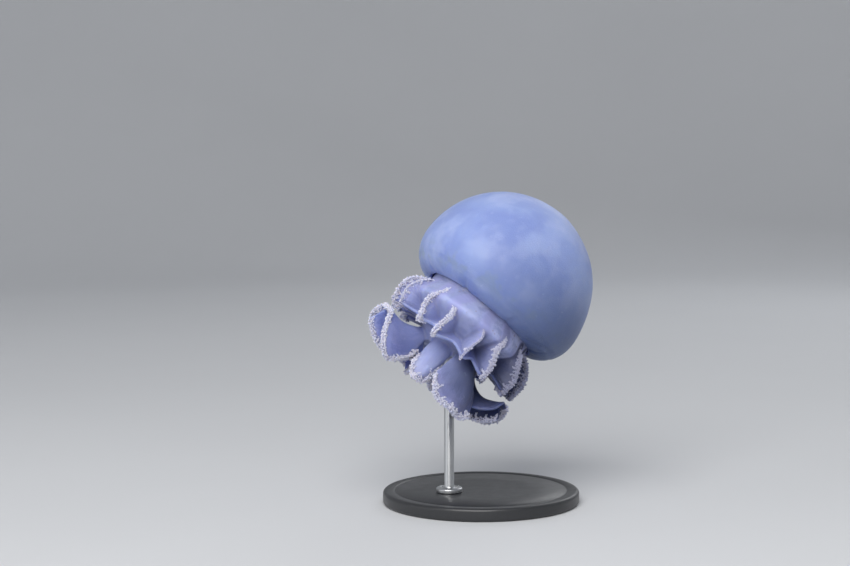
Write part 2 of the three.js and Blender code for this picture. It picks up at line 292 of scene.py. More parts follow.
stalkShape = {
    "radius": 26.0,
    "topFlare": (3.0, 2, 14),          # amount, and the two levels it grows between
    "mouthSwell": (8.6, -15, -27),     # where it fills the bell's mouth
    "lowerSwell": (2.4, -30, -38),     # between the scapulets
    "waistRadius": 19.5,
    "neck": (-46, -60),
    "footFlare": (2.5, -60, -68),
    "foot": -68.0,
    "joint": -12.0,           # level where the bell's part of the skin meets the mouth's part
    "inset": 0.25,
    "fill": 11.0,             # how much fuller the waist's flesh is at the front
    "fillAzimuth": -12.0,
    "fillTop": (-34.0, 14.0),     # level where that starts, and the height it grows over
    "fillFoot": 8.0,          # height it dies out over at the foot
    "collarGap": 0.08,        # between the lip's inner edge and the manubrium
    "dish": ((14, 1.0), (9, 2.2), (4, 4.5)),     # radius and rise of the hollow underside
    "dishRise": 5.0,
    "rows": 90,
    "columns": 120,
}


def facing(azimuth, towards):
    # 1 at the azimuth given in degrees, 0 on the opposite side
    return (1 + np.cos(azimuth - math.radians(towards))) / 2


def bellRadiusAt(level):
    # superellipse dome over a rolled-in elliptic corner
    shape = bellShape
    rise = np.clip((level - shape["widest"]) / shape["domeHeight"], 0, 1)
    drop = np.clip((shape["widest"] - level) / shape["cornerDepth"], 0, 1)
    dome = shape["radius"] * np.maximum(0, 1 - rise ** shape["fullness"]) ** (1 / shape["fullness"])
    corner = lipRadius + shape["cornerWidth"] * np.sqrt(1 - drop * drop)
    return np.where(level >= shape["widest"], dome, corner)


def cavityRadiusAt(level):
    # elliptic vault above the widest ring, narrowing to the lip below it
    shape = bellShape
    rise = np.clip((level - shape["widest"]) / shape["cavityHeight"], 0, 1)
    drop = np.clip((shape["widest"] - level) / (shape["cornerDepth"] - shape["lipThickness"] / 2), 0, 1)
    vault = lerp(shape["ceilingRadius"], shape["cavityRadius"], np.sqrt(1 - rise ** 2))
    flank = lerp(lipRadius, shape["cavityRadius"], np.sqrt(1 - drop ** 2))
    return np.where(level >= shape["widest"], vault, flank)


def stalkRadiusAt(level):
    # straight under the ceiling, swollen in and under the bell's mouth, necked at the waist, flared
    # at both ends
    def grown(start, end):
        return ease((level - start) / (end - start))

    shape = stalkShape
    full = shape["radius"]
    for amount, start, end in (shape["mouthSwell"], shape["lowerSwell"]):
        full = full + amount * grown(start, end)
    radius = lerp(full, shape["waistRadius"], grown(*shape["neck"]))
    for amount, start, end in (shape["topFlare"], shape["footFlare"]):
        radius = radius + amount * grown(start, end)
    return radius


def fillAt(azimuth, level):
    # the flesh that fills the angle between the scapulets and the front arms
    shape = stalkShape
    top, height = shape["fillTop"]
    grown = ease((top - level) / height) * ease((level - shape["foot"]) / shape["fillFoot"])
    return shape["fill"] * facing(azimuth, shape["fillAzimuth"]) ** 3 * grown


def bellProfile():
    # radius and level from the apex over the flank, round the lip, up the hollow and down the stalk
    shape = bellShape
    turn = np.linspace(0, np.pi / 2, 200)
    outLevels = lipLevel + (apexLevel - lipLevel) * np.cos(turn)
    outside = np.stack([bellRadiusAt(outLevels), outLevels], axis=-1)
    outside[0, 0] = 0
    innerFoot = lipLevel + shape["lipThickness"] / 2
    climb = np.linspace(0, 1, 160)
    inLevels = innerFoot + (ceilingLevel - innerFoot) * np.sin(climb * np.pi / 2)
    tuck, tuckTop = shape["tuck"]
    tucked = tuck * np.clip((tuckTop - inLevels) / (tuckTop - innerFoot), 0, 1)
    inside = np.stack([cavityRadiusAt(inLevels) - tucked, inLevels], axis=-1)
    stalkLevels = np.linspace(ceilingLevel - 0.6, stalkShape["joint"] + 1.2, 60)
    stalk = np.stack([stalkRadiusAt(stalkLevels) - stalkShape["inset"], stalkLevels], axis=-1)
    line = np.concatenate([outside, inside, stalk])
    # even steps along the line, then a moving average that rounds the corners
    fine = evenly(line, shape["step"])
    reach = int(shape["softening"] / shape["step"])
    window = np.hanning(2 * reach + 3)[1:-1]
    window /= window.sum()
    start = fine[reach:0:-1] * (-1, 1)    # mirrored over the axis
    end = 2 * fine[-1] - fine[-2:-reach - 2:-1]
    padded = np.concatenate([start, fine, end])
    soft = np.stack([np.convolve(padded[:, k], window, "valid") for k in (0, 1)], axis=-1)
    return evenly(soft, shape["spacing"])


def evenly(line, step):
    # the same line with points a step apart
    along = np.concatenate([[0], np.cumsum(np.linalg.norm(np.diff(line, axis=0), axis=1))])
    marks = np.linspace(0, along[-1], max(2, int(round(along[-1] / step)) + 1))
    return np.stack([np.interp(marks, along, line[:, k]) for k in range(line.shape[1])], axis=-1)


def bellSurface():
    # the profile carried round the axis; returns points, faces and what each point belongs to
    shape = bellShape
    line = bellProfile()
    line[0, 0] = 0
    azimuth = np.arange(shape["columns"]) * 2 * np.pi / shape["columns"]
    radius = np.repeat(line[1:, 0:1], shape["columns"], axis=1)
    level = np.repeat(line[1:, 1:2], shape["columns"], axis=1)
    az = np.repeat(azimuth[None, :], len(line) - 1, axis=0)
    normal = np.gradient(line, axis=0)
    normal = unit(np.stack([-normal[:, 1], normal[:, 0]], axis=-1))[1:]   # out of the flesh
    lowest = np.argmin(line[:, 1])
    outer = (np.arange(1, len(line)) <= lowest)[:, None]
    inHollow = (~outer) & (radius > shape["hollowEdge"])
    # the whole surface lies a little inside the solid, and swells and thins by a few tenths
    wave = sum(
        size * np.sin(count * az + slant * level + begin) for size, count, slant, begin in shape["waves"])
    wave = wave * ease(radius / shape["calmRadius"])
    depth = shape["inset"] + np.where(outer, shape["outerInset"] + wave, 0.0)
    # fine scallops and the notches of the sense organs, strongest at the lip's edge
    height = shape["lappetHeight"]
    nearLip = ease((lipLevel + height - level) / height) * ease((radius - 34) / 2)
    lappet = 0.5 - 0.5 * np.cos(shape["lappets"] * az)
    organ = np.exp(-(angleFrom(az * shape["senseOrgans"], np.pi) / shape["notchWidth"]) ** 2)
    depth = depth + nearLip * (shape["lappetDepth"] * lappet ** 3 + shape["notchDepth"] * organ)
    # one soft crease from the margin up the right flank, and the furrow over the lappets
    (footAz, footLevel), (topAz, topLevel) = shape["foldFoot"], shape["foldTop"]
    climb = (level - footLevel) / (topLevel - footLevel)
    bend = np.radians(footAz + (topAz - footAz) * climb ** 1.5)
    fold = np.exp(-(angleFrom(az, bend) * 50 / shape["foldWidth"]) ** 2)
    fold = fold * ease(1.6 - climb) * ease(climb * 4 + 0.6)
    furrow = np.exp(-((level - shape["furrowLevel"] - 0.5 * np.sin(4 * az)) / shape["furrowWidth"]) ** 2)
    depth = depth + np.where(outer, shape["foldDepth"] * fold + shape["furrowDepth"] * furrow, 0)
    size, rate = shape["muscleRings"]
    rings = size + size * np.sin(level * rate + 0.6 * np.sin(8 * az))
    depth = depth + np.where(inHollow, rings, 0)
    # the stalk's rows, down to the ring that the mouth's part meets, keep its exact radius
    fade = np.where(outer | inHollow, 1.0, 0.0)
    radius = radius - normal[:, 0:1] * depth * fade
    level = level - normal[:, 1:2] * depth * fade
    radius, level = sagged(radius, level, az, onBell=outer | (radius > shape["hollowEdge"] - 0.5))
    points = roundAxis(radius, az, level).reshape(-1, 3)
    apex = np.array([[0, 0, line[0, 1] - shape["inset"] - shape["outerInset"]]])
    quads = gridQuads(len(line) - 1, shape["columns"], wrap=True) + 1
    cap = capFaces(0, 1, shape["columns"])
    # 0 outside, 1 in the hollow, 2 on the stalk
    place = np.where(outer, 0.0, np.where(radius > shape["hollowEdge"], 1.0, 2.0))
    return np.concatenate([apex, points]), quads, cap, np.concatenate([[0], place.ravel()])


def angleFrom(angle, centre):
    # how far an angle is from another one, in radians
    return np.abs((angle - centre + np.pi) % (2 * np.pi) - np.pi)


def collared(points):
    # swells the manubrium out to the lip's inner edge, which hangs lower where the margin sags
    radius = np.linalg.norm(points[:, :2], axis=1)
    side = facing(azimuthOf(points), bellShape["sagAzimuth"]) ** 2
    edgeRadius, edgeLevel = bellShape["lipEdge"]
    edgeLevel = edgeLevel - bellShape["sagDown"] * side
    edgeRadius = edgeRadius + bellShape["sagOutward"] * side - stalkShape["collarGap"]
    amount = np.maximum(0, edgeRadius - stalkRadiusAt(points[:, 2]) + stalkShape["inset"])
    near = np.exp(-((points[:, 2] - edgeLevel) / bellShape["collarReach"]) ** 2)
    within = ease((edgeRadius + 5 - radius) / 4) * ease((radius - 20) / 10)
    stretch = 1 + amount * near * within / np.maximum(radius, 1)
    return np.stack([points[:, 0] * stretch, points[:, 1] * stretch, points[:, 2]], axis=-1)


def sagged(radius, level, az, onBell):
    # the front right swells and hangs, most at the margin
    side = facing(az, bellShape["sagAzimuth"]) ** 2
    amount = side * ease((14 - level) / 40) * np.minimum(1, radius / lipRadius)
    amount = np.where(onBell, amount, 0)
    return radius + bellShape["sagOutward"] * amount, level - bellShape["sagDown"] * amount


# the manubrium, scapulets and oral arms are closed shells that overlap
unitCount = 8
frontUnit = -67.5             # azimuth of the first unit

scapuletShape = {
    "corner": (23.5, -55.5),  # radius and level of the fan's root corner
    "outward": 26.2,
    "upward": 21.6,
    "squareness": 4.0,
    "rootShare": 0.06,        # of the way out where the fan starts
    "spacing": 9.5,           # degrees from the middle of its unit
    "turned": -3.0,
    "rootThickness": 7.6,
    "rimThickness": 2.2,
    "ruffle": 1.6,            # how far the rim waves
    "waves": 1.5,
    "sway": 1.8,              # and how far a whole fan leans sideways
    "dip": 1.5,               # how much lower than its root every rim ends
    "hang": 17.0,             # and how much more where the fans hang furthest
    "hangAzimuth": 20.0,
    "hangPower": 2.0,
    "lift": 0.27,             # how much of that the fan's top makes up
    "corners": (0.14, 0.06),  # how far along the rim its lower corner is rounded, and by how much
    "worn": {(0, 1): 0.45, (2, -1): 0.2},    # low frills, by unit and side
    "skinReach": 0.955,       # how far out the skin goes, the frill goes on to the rim
    "skinRim": 1.5,           # thickness of the skin at its own rim
    "inset": 0.35,
    "grooves": (0.22, 9),     # depth and number
    "rows": 56,
    "columns": 36,
}

armShape = {
    "root": (15.0, -59.0),    # radius and level
    "halfAngle": 19.9,        # degrees from the ridge to the hood's side
    "ridgeThickness": 6.0,
    "rimThickness": 2.2,
    "ruffle": 1.3,
    "hoodWaves": (2.2, 1.3),  # along the ridge and across it
    "keelThickness": 2.6,
    "keelSpan": (0.12, 0.8),  # where on the ridge the keel starts, and how long it is
    "keelWaves": 1.7,
    "sideLength": 0.45,       # length of the hood's sides to that of its ridge
    "foldRate": 1.6,
    "rootWidth": 0.74,
    "reach": 0.965,           # of the ridge, on average, covered by the skin
    "skinRim": 1.5,
    "inset": 0.3,
    "keelInset": 0.2,
    "grooves": (0.2, 8),
    "rows": 64,
    "columns": 84,
    "keelColumns": 24,
}

# swing to the right, width, how much shorter the left side is, knee and tip of the ridge, depth of
# the hood, how much deeper it folds on its right, depth of the keel, the stretch of the rim that
# carries a frill, from 0 at its left root over the tip to 1 at its right root, and how far along the
# ridge the skin reaches before the frill goes on
armFields = (
    "swing", "width", "shortSide", "knee", "tip", "hood", "rightFold", "keel", "frilled", "reach")
armPoses = [dict(zip(armFields, row)) for row in (
    (2.0, 1.2, 0.0, (36, -76), (52.5, -66), 13, 1.0, 21, (0.1, 0.95), 0.94),
    (8.0, 0.8, 0.2, (30, -67), (35.5, -97), 5, 0.0, 9, (0.34, 0.68), 0.955),
    (4.5, 1.34, 0.0, (36, -68), (46, -100.5), 4, 0.0, 10, (0.34, 0.64), 0.955),
    (3.0, 0.85, 0.0, (27, -86), (50.5, -70), 11, 0.0, 15, (0.52, 0.85), 0.96),
    (3.0, 0.8, 0.0, (20, -80), (39, -78), 7, 0.0, 9, (0.08, 0.92), 0.965),
    (0.0, 1.0, 0.0, (35, -66), (47, -79), 11, 0.0, 15, (0.08, 0.92), 0.965),
    (0.0, 1.0, 0.0, (35, -66), (48, -77), 11, 0.0, 15, (0.08, 0.92), 0.965),
    (0.0, 1.0, 0.0, (36, -67), (50, -71), 12, 0.0, 17, (0.08, 0.92), 0.96),
)]


def turned(points, azimuth):
    # from (outward, sideways, level) at an azimuth in degrees to the animal's own frame
    c, s = math.cos(math.radians(azimuth)), math.sin(math.radians(azimuth))
    out, side, level = points[..., 0], points[..., 1], points[..., 2]
    return np.stack([out * s + side * c, -out * c + side * s, level], axis=-1)


def hangAt(azimuth):
    # how much lower than its root a fan's rim ends
    shape = scapuletShape
    return shape["dip"] + shape["hang"] * facing(azimuth, shape["hangAzimuth"]) ** shape["hangPower"]


def scapuletPlace(azimuth, turn, phase):
    # a quarter superellipse from out and down, at a = 0, to straight up, at a = 1, scaled by q from
    # the root to the rim, which waves sideways as the square of q
    shape = scapuletShape
    drop = hangAt(math.radians(azimuth))
    power = 2 / shape["squareness"]
    cornerSpan, cornerCut = shape["corners"]

    def place(a, q):
        angle = np.clip(a, 0, 1) * np.pi / 2
        rounding = 1 - cornerCut * np.clip(1 - a / cornerSpan, 0, 1) ** 2
        reach = lerp(shape["rootShare"], 1, q) * rounding
        outwards = reach * np.abs(np.cos(angle)) ** power
        upwards = reach * np.abs(np.sin(angle)) ** power
        wave = shape["ruffle"] * q * q * np.sin(2 * np.pi * (shape["waves"] * a + phase))
        lean = shape["sway"] * q * math.sin(9 * turn)
        out = shape["corner"][0] + shape["outward"] * outwards
        height = shape["upward"] + shape["lift"] * drop
        level = shape["corner"][1] - drop * outwards + height * upwards
        return turned(np.stack([out, wave + lean, level], axis=-1), azimuth)

    return place


def ridgeAt(pose, s):
    # quadratic curve from root over knee to tip, with the direction of its oral side
    root, knee, tip = (np.array(p, float) for p in (armShape["root"], pose["knee"], pose["tip"]))
    s = s[..., None]
    point = (1 - s) ** 2 * root + 2 * s * (1 - s) * knee + s * s * tip
    held = np.clip(s, 0, 1)
    tangent = unit(2 * (1 - held) * (knee - root) + 2 * held * (tip - knee))
    return point[..., 0], point[..., 1], tangent[..., 1], -tangent[..., 0]


def hoodPlace(pose, azimuth, turn):
    # the ridge carried sideways by an angle, dropping to the oral side as the square of it, and cut
    # to a tongue whose sides are shorter than its ridge
    shape = armShape
    alongWaves, acrossWaves = shape["hoodWaves"]

    def place(a, q):
        side = 2 * q - 1
        tongue = lerp(shape["sideLength"], 1, np.sqrt(np.maximum(0, 1 - side ** 4)))
        s = a * tongue * (1 + pose["shortSide"] * np.minimum(0, side))
        radius, level, oralRadius, oralLevel = ridgeAt(pose, s)
        deeper = 1 + pose["rightFold"] * ease(side)
        drop = pose["hood"] * deeper * ease(shape["foldRate"] * s) * side * side
        rim = np.maximum(side ** 4, a ** 5)
        wave = shape["ruffle"] * rim * np.sin(2 * np.pi * (alongWaves * a + acrossWaves * side + turn))
        out = radius + (drop + wave) * oralRadius
        height = level + (drop + wave) * oralLevel
        spread = lerp(shape["rootWidth"], 1, ease(3 * s)) + (pose["width"] - 1) * ease(2.2 * s - 0.6)
        angle = math.radians(shape["halfAngle"]) * side * spread
        return turned(np.stack([out * np.cos(angle), out * np.sin(angle), height], axis=-1), azimuth)

    return place


def keelPlace(pose, azimuth, turn):
    # a fin under the ridge on its oral side, whose depth follows part of a sine wave along it
    shape = armShape
    start, length = shape["keelSpan"]

    def place(a, q):
        radius, level, oralRadius, oralLevel = ridgeAt(pose, start + length * a)
        depth = pose["keel"] * (0.45 + 0.55 * np.sin(np.pi * (0.15 + 0.75 * a))) * q
        wave = shape["ruffle"] * q * q * np.sin(2 * np.pi * (shape["keelWaves"] * a + turn))
        out, height = radius + depth * oralRadius, level + depth * oralLevel
        return turned(np.stack([out, wave, height], axis=-1), azimuth)

    return place


webShape = {
    "span": (-108.0, 122.0),  # azimuths between which a web joins the scapulets' lower edges
    "reach": (0.55, 0.86),    # how far out it comes between two fans, and at a fan
    "fanWidth": 7.0,          # degrees over which it runs out along a fan
    "lift": 1.0,              # above the fans' lower edges
    "rootDepth": 3.0,         # how far in it starts
    "endFade": 0.1,           # share of its length over which it dies out at either end
    "rootThickness": 3.6,
    "rimThickness": 1.7,
    "rows": 460,
    "columns": 20,
}


def unitAzimuth(number):
    return frontUnit + number * 360 / unitCount


def fanAzimuth(number, side):
    return unitAzimuth(number) + scapuletShape["turned"] + side * scapuletShape["spacing"]


def webPlace(a, q):
    # cone through the fans' lower edges, its rim scalloped between them and dying out at both ends
    shape, fan = webShape, scapuletShape
    azimuth = np.radians(lerp(*shape["span"], a))
    fans = [fanAzimuth(number, side) for number in range(unitCount) for side in (-1, 1)]
    nearest = np.min([angleFrom(azimuth, math.radians(other)) for other in fans], axis=0)
    near = np.exp(-(np.degrees(nearest) / shape["fanWidth"]) ** 2)
    ends = shape["endFade"]
    reach = lerp(*shape["reach"], near) * ease(a / ends) * ease((1 - a) / ends) * q
    level = fan["corner"][1] - hangAt(azimuth) * reach + shape["lift"] + 0.5 * np.sin(9 * azimuth) * q
    out = fan["corner"][0] + fan["outward"] * reach - shape["rootDepth"] * (1 - q)
    return roundAxis(out, azimuth, level)


def webHalf(a, q):
    # thinner in a straight line from root to rim
    return lerp(webShape["rootThickness"], webShape["rimThickness"], q) / 2


def surfaceNormal(place, a, q):
    # across the two directions that a small step in a and one in q lead to
    small = 1e-3
    stepA = np.where(a < 0.5, small, -small)
    stepQ = np.where(q < 0.5, small, -small)
    alongWay = (place(a + stepA, q) - place(a, q)) / stepA[..., None]
    acrossWay = (place(a, q + stepQ) - place(a, q)) / stepQ[..., None]
    return unit(np.cross(alongWay, acrossWay))


def sheetShell(part):
    # a lobe's middle surface moved half its thickness to both sides, closed round its four edges
    rows, columns = part["rows"], part["columns"]
    a, q = np.meshgrid(
        np.linspace(*part["spanA"], rows), np.linspace(*part["spanQ"], columns), indexing="ij")
    centre = part["place"](a, q)
    normal = surfaceNormal(part["place"], a, q)
    half = part["half"](a, q)[..., None]
    top, bottom = centre + normal * half, centre - normal * half
    count = rows * columns
    quads = gridQuads(rows, columns)
    ring = np.concatenate([
        np.arange(columns - 1),
        np.arange(rows - 1) * columns + columns - 1,
        (rows - 1) * columns + np.arange(columns - 1, 0, -1),
        np.arange(rows - 1, 0, -1) * columns,
    ])
    after = np.roll(ring, -1)
    edge = np.stack([ring, after, after + count, ring + count], axis=-1)
    faces = np.concatenate([quads[:, ::-1], quads + count, edge[:, ::-1]])
    return np.concatenate([top.reshape(-1, 3), bottom.reshape(-1, 3)]), [faces]


def grooved(shape, solid, thinning, out, along):
    # half thickness of the skin: under the solid's by the inset, thinned to a fine rim, and scored by
    # shallow cosine grooves that run out to the rim
    depth, count = shape["grooves"]
    thin = lerp(solid - 2 * shape["inset"], shape["skinRim"], ease(thinning))
    groove = depth * ease(out / 0.4) * (0.5 + 0.5 * np.cos(2 * np.pi * count * along))
    return thin / 2 - groove / 2


def scapuletHalf(a, q):
    # thinner as the square of the way out
    solid = lerp(scapuletShape["rootThickness"], scapuletShape["rimThickness"], q * q)
    return grooved(scapuletShape, solid, (q - 0.72) / 0.24, q - 0.25, a)


def hoodHalf(a, q):
    # thinner towards the tip and both sides
    rim = np.maximum(np.abs(2 * q - 1), a)
    solid = lerp(armShape["ridgeThickness"], armShape["rimThickness"], rim)
    return grooved(armShape, solid, (rim - 0.75) / 0.22, a - 0.3, q)


def keelHalf(a, q):
    # thinner in a straight line from the ridge to the rim
    solid = lerp(armShape["keelThickness"], armShape["rimThickness"], q)
    return lerp(solid - 2 * armShape["keelInset"], armShape["skinRim"], q) / 2


def lobes():
    # every fan, hood, keel and the web: its kind, unit, middle surface, half thickness, parameter
    # spans, how many rows and columns it has, and how strong its frill is
    found = []

    def add(kind, number, place, half, spanA, spanQ, size, strength):
        found.append({
            "kind": kind, "unit": number, "place": place, "half": half, "spanA": spanA, "spanQ": spanQ,
            "rows": size[0], "columns": size[1], "strength": strength})

    fan, arm, web = scapuletShape, armShape, webShape
    for number in range(unitCount):
        turn = (number * 0.37) % 1
        pose = armPoses[number]
        reach = pose["reach"]
        azimuth = unitAzimuth(number) + pose["swing"]
        add("hood", number, hoodPlace(pose, azimuth, turn), hoodHalf, (0, reach),
            (0.5 - reach / 2, 0.5 + reach / 2), (arm["rows"], arm["columns"]), 1.0)
        add("keel", number, keelPlace(pose, azimuth, turn), keelHalf, (0.02, 0.98),
            (0.05, 0.92), (arm["rows"], arm["keelColumns"]), 0.9)
        for side, phase in ((-1, turn), (1, turn + 0.5)):
            add("fan", number, scapuletPlace(fanAzimuth(number, side), turn, phase), scapuletHalf, (0, 1),
                (0, fan["skinReach"]), (fan["rows"], fan["columns"]), fan["worn"].get((number, side), 1.0))
    add("web", unitCount, webPlace, webHalf, (0, 1), (0, 1), (web["rows"], web["columns"]), 0.0)
    return found


def stalkShell():
    # closed turned body from inside the bell's part down to the foot, its waist filled at the front
    shape = stalkShape
    levels = np.linspace(shape["joint"] + 9, shape["foot"], shape["rows"])
    side = np.stack([stalkRadiusAt(levels) - shape["inset"], levels], axis=-1)
    line = np.concatenate([side, [[radius, shape["foot"] + rise] for radius, rise in shape["dish"]]])
    azimuth = (np.arange(shape["columns"]) * 2 * np.pi / shape["columns"])[None, :]
    level = np.repeat(line[:, 1:2], shape["columns"], axis=1)
    radius = line[:, 0:1] + fillAt(azimuth, level) * (line[:, 0:1] > 18)
    poles = np.array([[0, 0, levels[0]], [0, 0, shape["foot"] + shape["dishRise"]]])
    return closedBody(roundAxis(radius, azimuth, level), poles)


mouthSkin = {
    "voxel": 0.5,
    "quickVoxel": 0.9,
    "evening": (14, 0.6, 0.62),       # passes that take the voxels' steps out, their pull and push
    "filleting": (34, 0.6, -0.5),     # passes that round the roots of the lobes, with no push
    "triangles": 114000,
}


def relaxed(points, quads, weight, settings):
    # every point moves towards the mean of its neighbours by pull, and in every second pass away
    # from it by push, so that thin rims keep their width
    passes, pull, push = settings
    edges = np.concatenate([quads[:, [0, 1]], quads[:, [1, 2]], quads[:, [2, 3]], quads[:, [3, 0]]])
    count = len(points)
    tally = np.bincount(edges[:, 0], minlength=count) + np.bincount(edges[:, 1], minlength=count)
    tally = np.maximum(tally, 1)[:, None]
    for step in range(passes):
        total = np.stack([
            np.bincount(edges[:, 0], points[edges[:, 1], k], count)
            + np.bincount(edges[:, 1], points[edges[:, 0], k], count) for k in range(3)], axis=-1)
        amount = pull if step % 2 == 0 else -push
        points = points + (total / tally - points) * amount * weight[:, None]
    return points


def cornersOf(mesh, size):
    # the faces of a mesh that has only triangles, or only quads
    corners = np.empty(len(mesh.loops), np.int32)
    mesh.loops.foreach_get("vertex_index", corners)
    return corners.reshape(-1, size)


def mouthSurface(parts):
    # the shells joined by voxels, smoothed, thinned and cut level where the bell's part begins
    voxel = mouthSkin["voxel"]
    shells = [stalkShell()] + [sheetShell(part) for part in parts]
    mesh = modified(joined("mouthShells", shells), "REMESH", mode="VOXEL", voxel_size=voxel)
    points, quads = pointsOf(mesh), cornersOf(mesh, 4)
    print("mouth voxels:", len(points), "points")
    points = relaxed(points, quads, np.ones(len(points)), mouthSkin["evening"])
    flesh = stalkRadiusAt(points[:, 2]) + fillAt(azimuthOf(points), points[:, 2])
    nearStalk = ease((flesh + 7 - np.linalg.norm(points[:, :2], axis=1)) / 6)
    points = collared(relaxed(points, quads, nearStalk, mouthSkin["filleting"]))
    ratio = min(1, mouthSkin["triangles"] / (2 * len(quads)))
    thin = modified(meshOf("mouthSmooth", points, [quads]), "DECIMATE", ratio=ratio)
    shape = bmesh.new()
    shape.from_mesh(thin)
    everything = shape.verts[:] + shape.edges[:] + shape.faces[:]
    bmesh.ops.bisect_plane(
        shape, geom=everything, plane_co=(0, 0, stalkShape["joint"]), plane_no=(0, 0, 1), clear_outer=True)
    bmesh.ops.triangulate(shape, faces=shape.faces[:])
    shape.verts.index_update()
    rim = {v.index for e in shape.edges if e.is_boundary for v in e.verts}
    result = bpy.data.meshes.new("mouth")
    shape.to_mesh(result)
    shape.free()
    return pointsOf(result), cornersOf(result, 3), np.array(sorted(rim))


def zipped(points, ringA, ringB):
    # triangles between two rings round the axis, each taken in order of azimuth
    def ordered(ring):
        angle = azimuthOf(points[ring]) % (2 * np.pi)
        order = np.argsort(angle)
        return ring[order], np.append(angle[order], angle[order[0]] + 2 * np.pi)

    (ringA, angleA), (ringB, angleB) = ordered(ringA), ordered(ringB)
    i, j, triangles = 0, 0, []
    countA, countB = len(ringA), len(ringB)
    while i < countA or j < countB:
        takeA = j == countB or (i < countA and angleA[i + 1] <= angleB[j + 1])
        a, b = ringA[i % countA], ringB[j % countB]
        if takeA:
            triangles.append((a, ringA[(i + 1) % countA], b))
            i += 1
        else:
            triangles.append((a, ringB[(j + 1) % countB], b))
            j += 1
    return np.array(triangles)


def addValue(mesh, name, values):
    kind, field = ("FLOAT_VECTOR", "vector") if values.ndim == 2 else ("FLOAT", "value")
    layer = mesh.attributes.new(name, kind, "POINT")
    layer.data.foreach_set(field, values.astype(np.float32).ravel())


rimLengths = {"hood": 34, "keel": 36, "fan": 38, "web": 160}      # about how long each one's rim is


def lobeSamples(part):
    # places on a lobe's middle surface, how far out each one is and how far along the rim
    kind, (startQ, endQ) = part["kind"], part["spanQ"]
    if kind == "keel":
        startQ = 0.2
    rows = np.linspace(*part["spanA"], 150 if kind == "web" else 26)
    a, q = np.meshgrid(rows, np.linspace(startQ, endQ, 30), indexing="ij")
    out, along = q / endQ, a
    if kind == "hood":
        out, along = np.maximum(a, np.abs(2 * q - 1) ** 3 * ease(a * 2.5)) / armShape["reach"], q
    if kind == "web":
        out = q * 0.45
    return part["place"](a, q).reshape(-1, 3), out.ravel(), along.ravel() * rimLengths[kind]


def nearestLobe(points, parts):
    # for every point the nearest sample of a lobe: its distance, then the lobe's tier (1 fan, 2 arm),
    # its unit, how far out the sample is and where it is along the rim in mm
    samples, facts = [], []
    for part in parts:
        places, out, along = lobeSamples(part)
        tier = np.full(len(out), 1.0 if part["kind"] in ("fan", "web") else 2.0)
        samples.append(places)
        facts.append(np.stack([tier, np.full(len(out), part["unit"]), out, along], axis=-1))
    samples, facts = np.concatenate(samples), np.concatenate(facts)
    tree = KDTree(len(samples))
    for index, sample in enumerate(samples):
        tree.insert(sample, index)
    tree.balance()
    found = [tree.find(point)[1:] for point in points]
    return np.array([f[1] for f in found]), facts[np.array([f[0] for f in found])]


skinTones = {
    "navyAndShadeAzimuth": 74.0,      # the fans there are the darkest: navy flesh, with painted shade on that side
    "massAzimuth": -25.0,     # the flesh there is the palest
    "massLevel": -62.0,
    "massHeight": 24.0,
    "paintedShadeAzimuth": 75.0,     # the bell's flank there gets the most painted shade
    "paintedShadeTop": 30.0,
    "mottleLevel": -25.0,     # ring of soft smudges over the margin
    "mottleWidth": 5.0,
    "lobeReach": (6.0, 3.5),  # a point belongs to a lobe this near to it, and fades in over this
    "lanes": 20.0,            # fine furrows that run down the bell and the manubrium
    "lanesFade": 30.0,        # and fade out round the apex
    "petals": (2, 3),         # units whose arms hang smooth and dark
    "paleArm": 1,
}


def markSkin(mesh, points, kind, parts):
    # values that the materials read, each worked out from a point's place
    tones = skinTones
    mouth, bellSide = kind == 3, kind == 0
    azimuth, level = azimuthOf(points), points[:, 2]
    distance, facts = nearestLobe(points[mouth], parts)
    reach, fade = tones["lobeReach"]
    onLobe = ease((reach - distance) / fade)
    tier, unitNumber, out, along = facts.T
    isArm = onLobe * (tier == 2)

    def mouthOnly(values):
        # the values on the mouth's points, and 0 on the bell's
        full = np.zeros(len(points))
        full[mouth] = values
        return full

    lanes = tones["lanes"] * ease(np.linalg.norm(points[:, :2], axis=1) / tones["lanesFade"])
    streak = roundAxis(lanes, azimuth, level * 0.15)
    streak[mouth] = np.stack([along, out * 4, unitNumber * 7 + tier * 3], axis=-1)
    mottle = np.exp(-((level - tones["mottleLevel"]) / tones["mottleWidth"]) ** 2)
    mass = np.exp(-((level - tones["massLevel"]) / tones["massHeight"]) ** 2)
    mass = facing(azimuth, tones["massAzimuth"]) ** 5 * mass * mouth
    # painted shade: the bell's lower right flank is made darker, as if turned away from the light
    paintedShade = facing(azimuth, tones["paintedShadeAzimuth"]) ** 2 * ease((tones["paintedShadeTop"] - level) / 50)
    values = {
        "bodyPoint": points,
        "streak": streak,
        "bellSide": bellSide,
        "hollow": kind == 1,
        "lobe": mouthOnly(onLobe),
        "fan": mouthOnly(onLobe * (tier == 1)),
        "rim": mouthOnly(out),
        "petal": mouthOnly(isArm * np.isin(unitNumber, tones["petals"])),
        # navy flesh on the right side, with painted shade there too
        "navyAndShade": facing(azimuth, tones["navyAndShadeAzimuth"]) ** 3.5,
        "mottle": mottle * bellSide,
        "level": level,
        "mass": np.maximum(mass, mouthOnly(isArm * (unitNumber == tones["paleArm"]))),
        "paintedShade": paintedShade * bellSide,
    }
    for name, value in values.items():
        addValue(mesh, name, value)


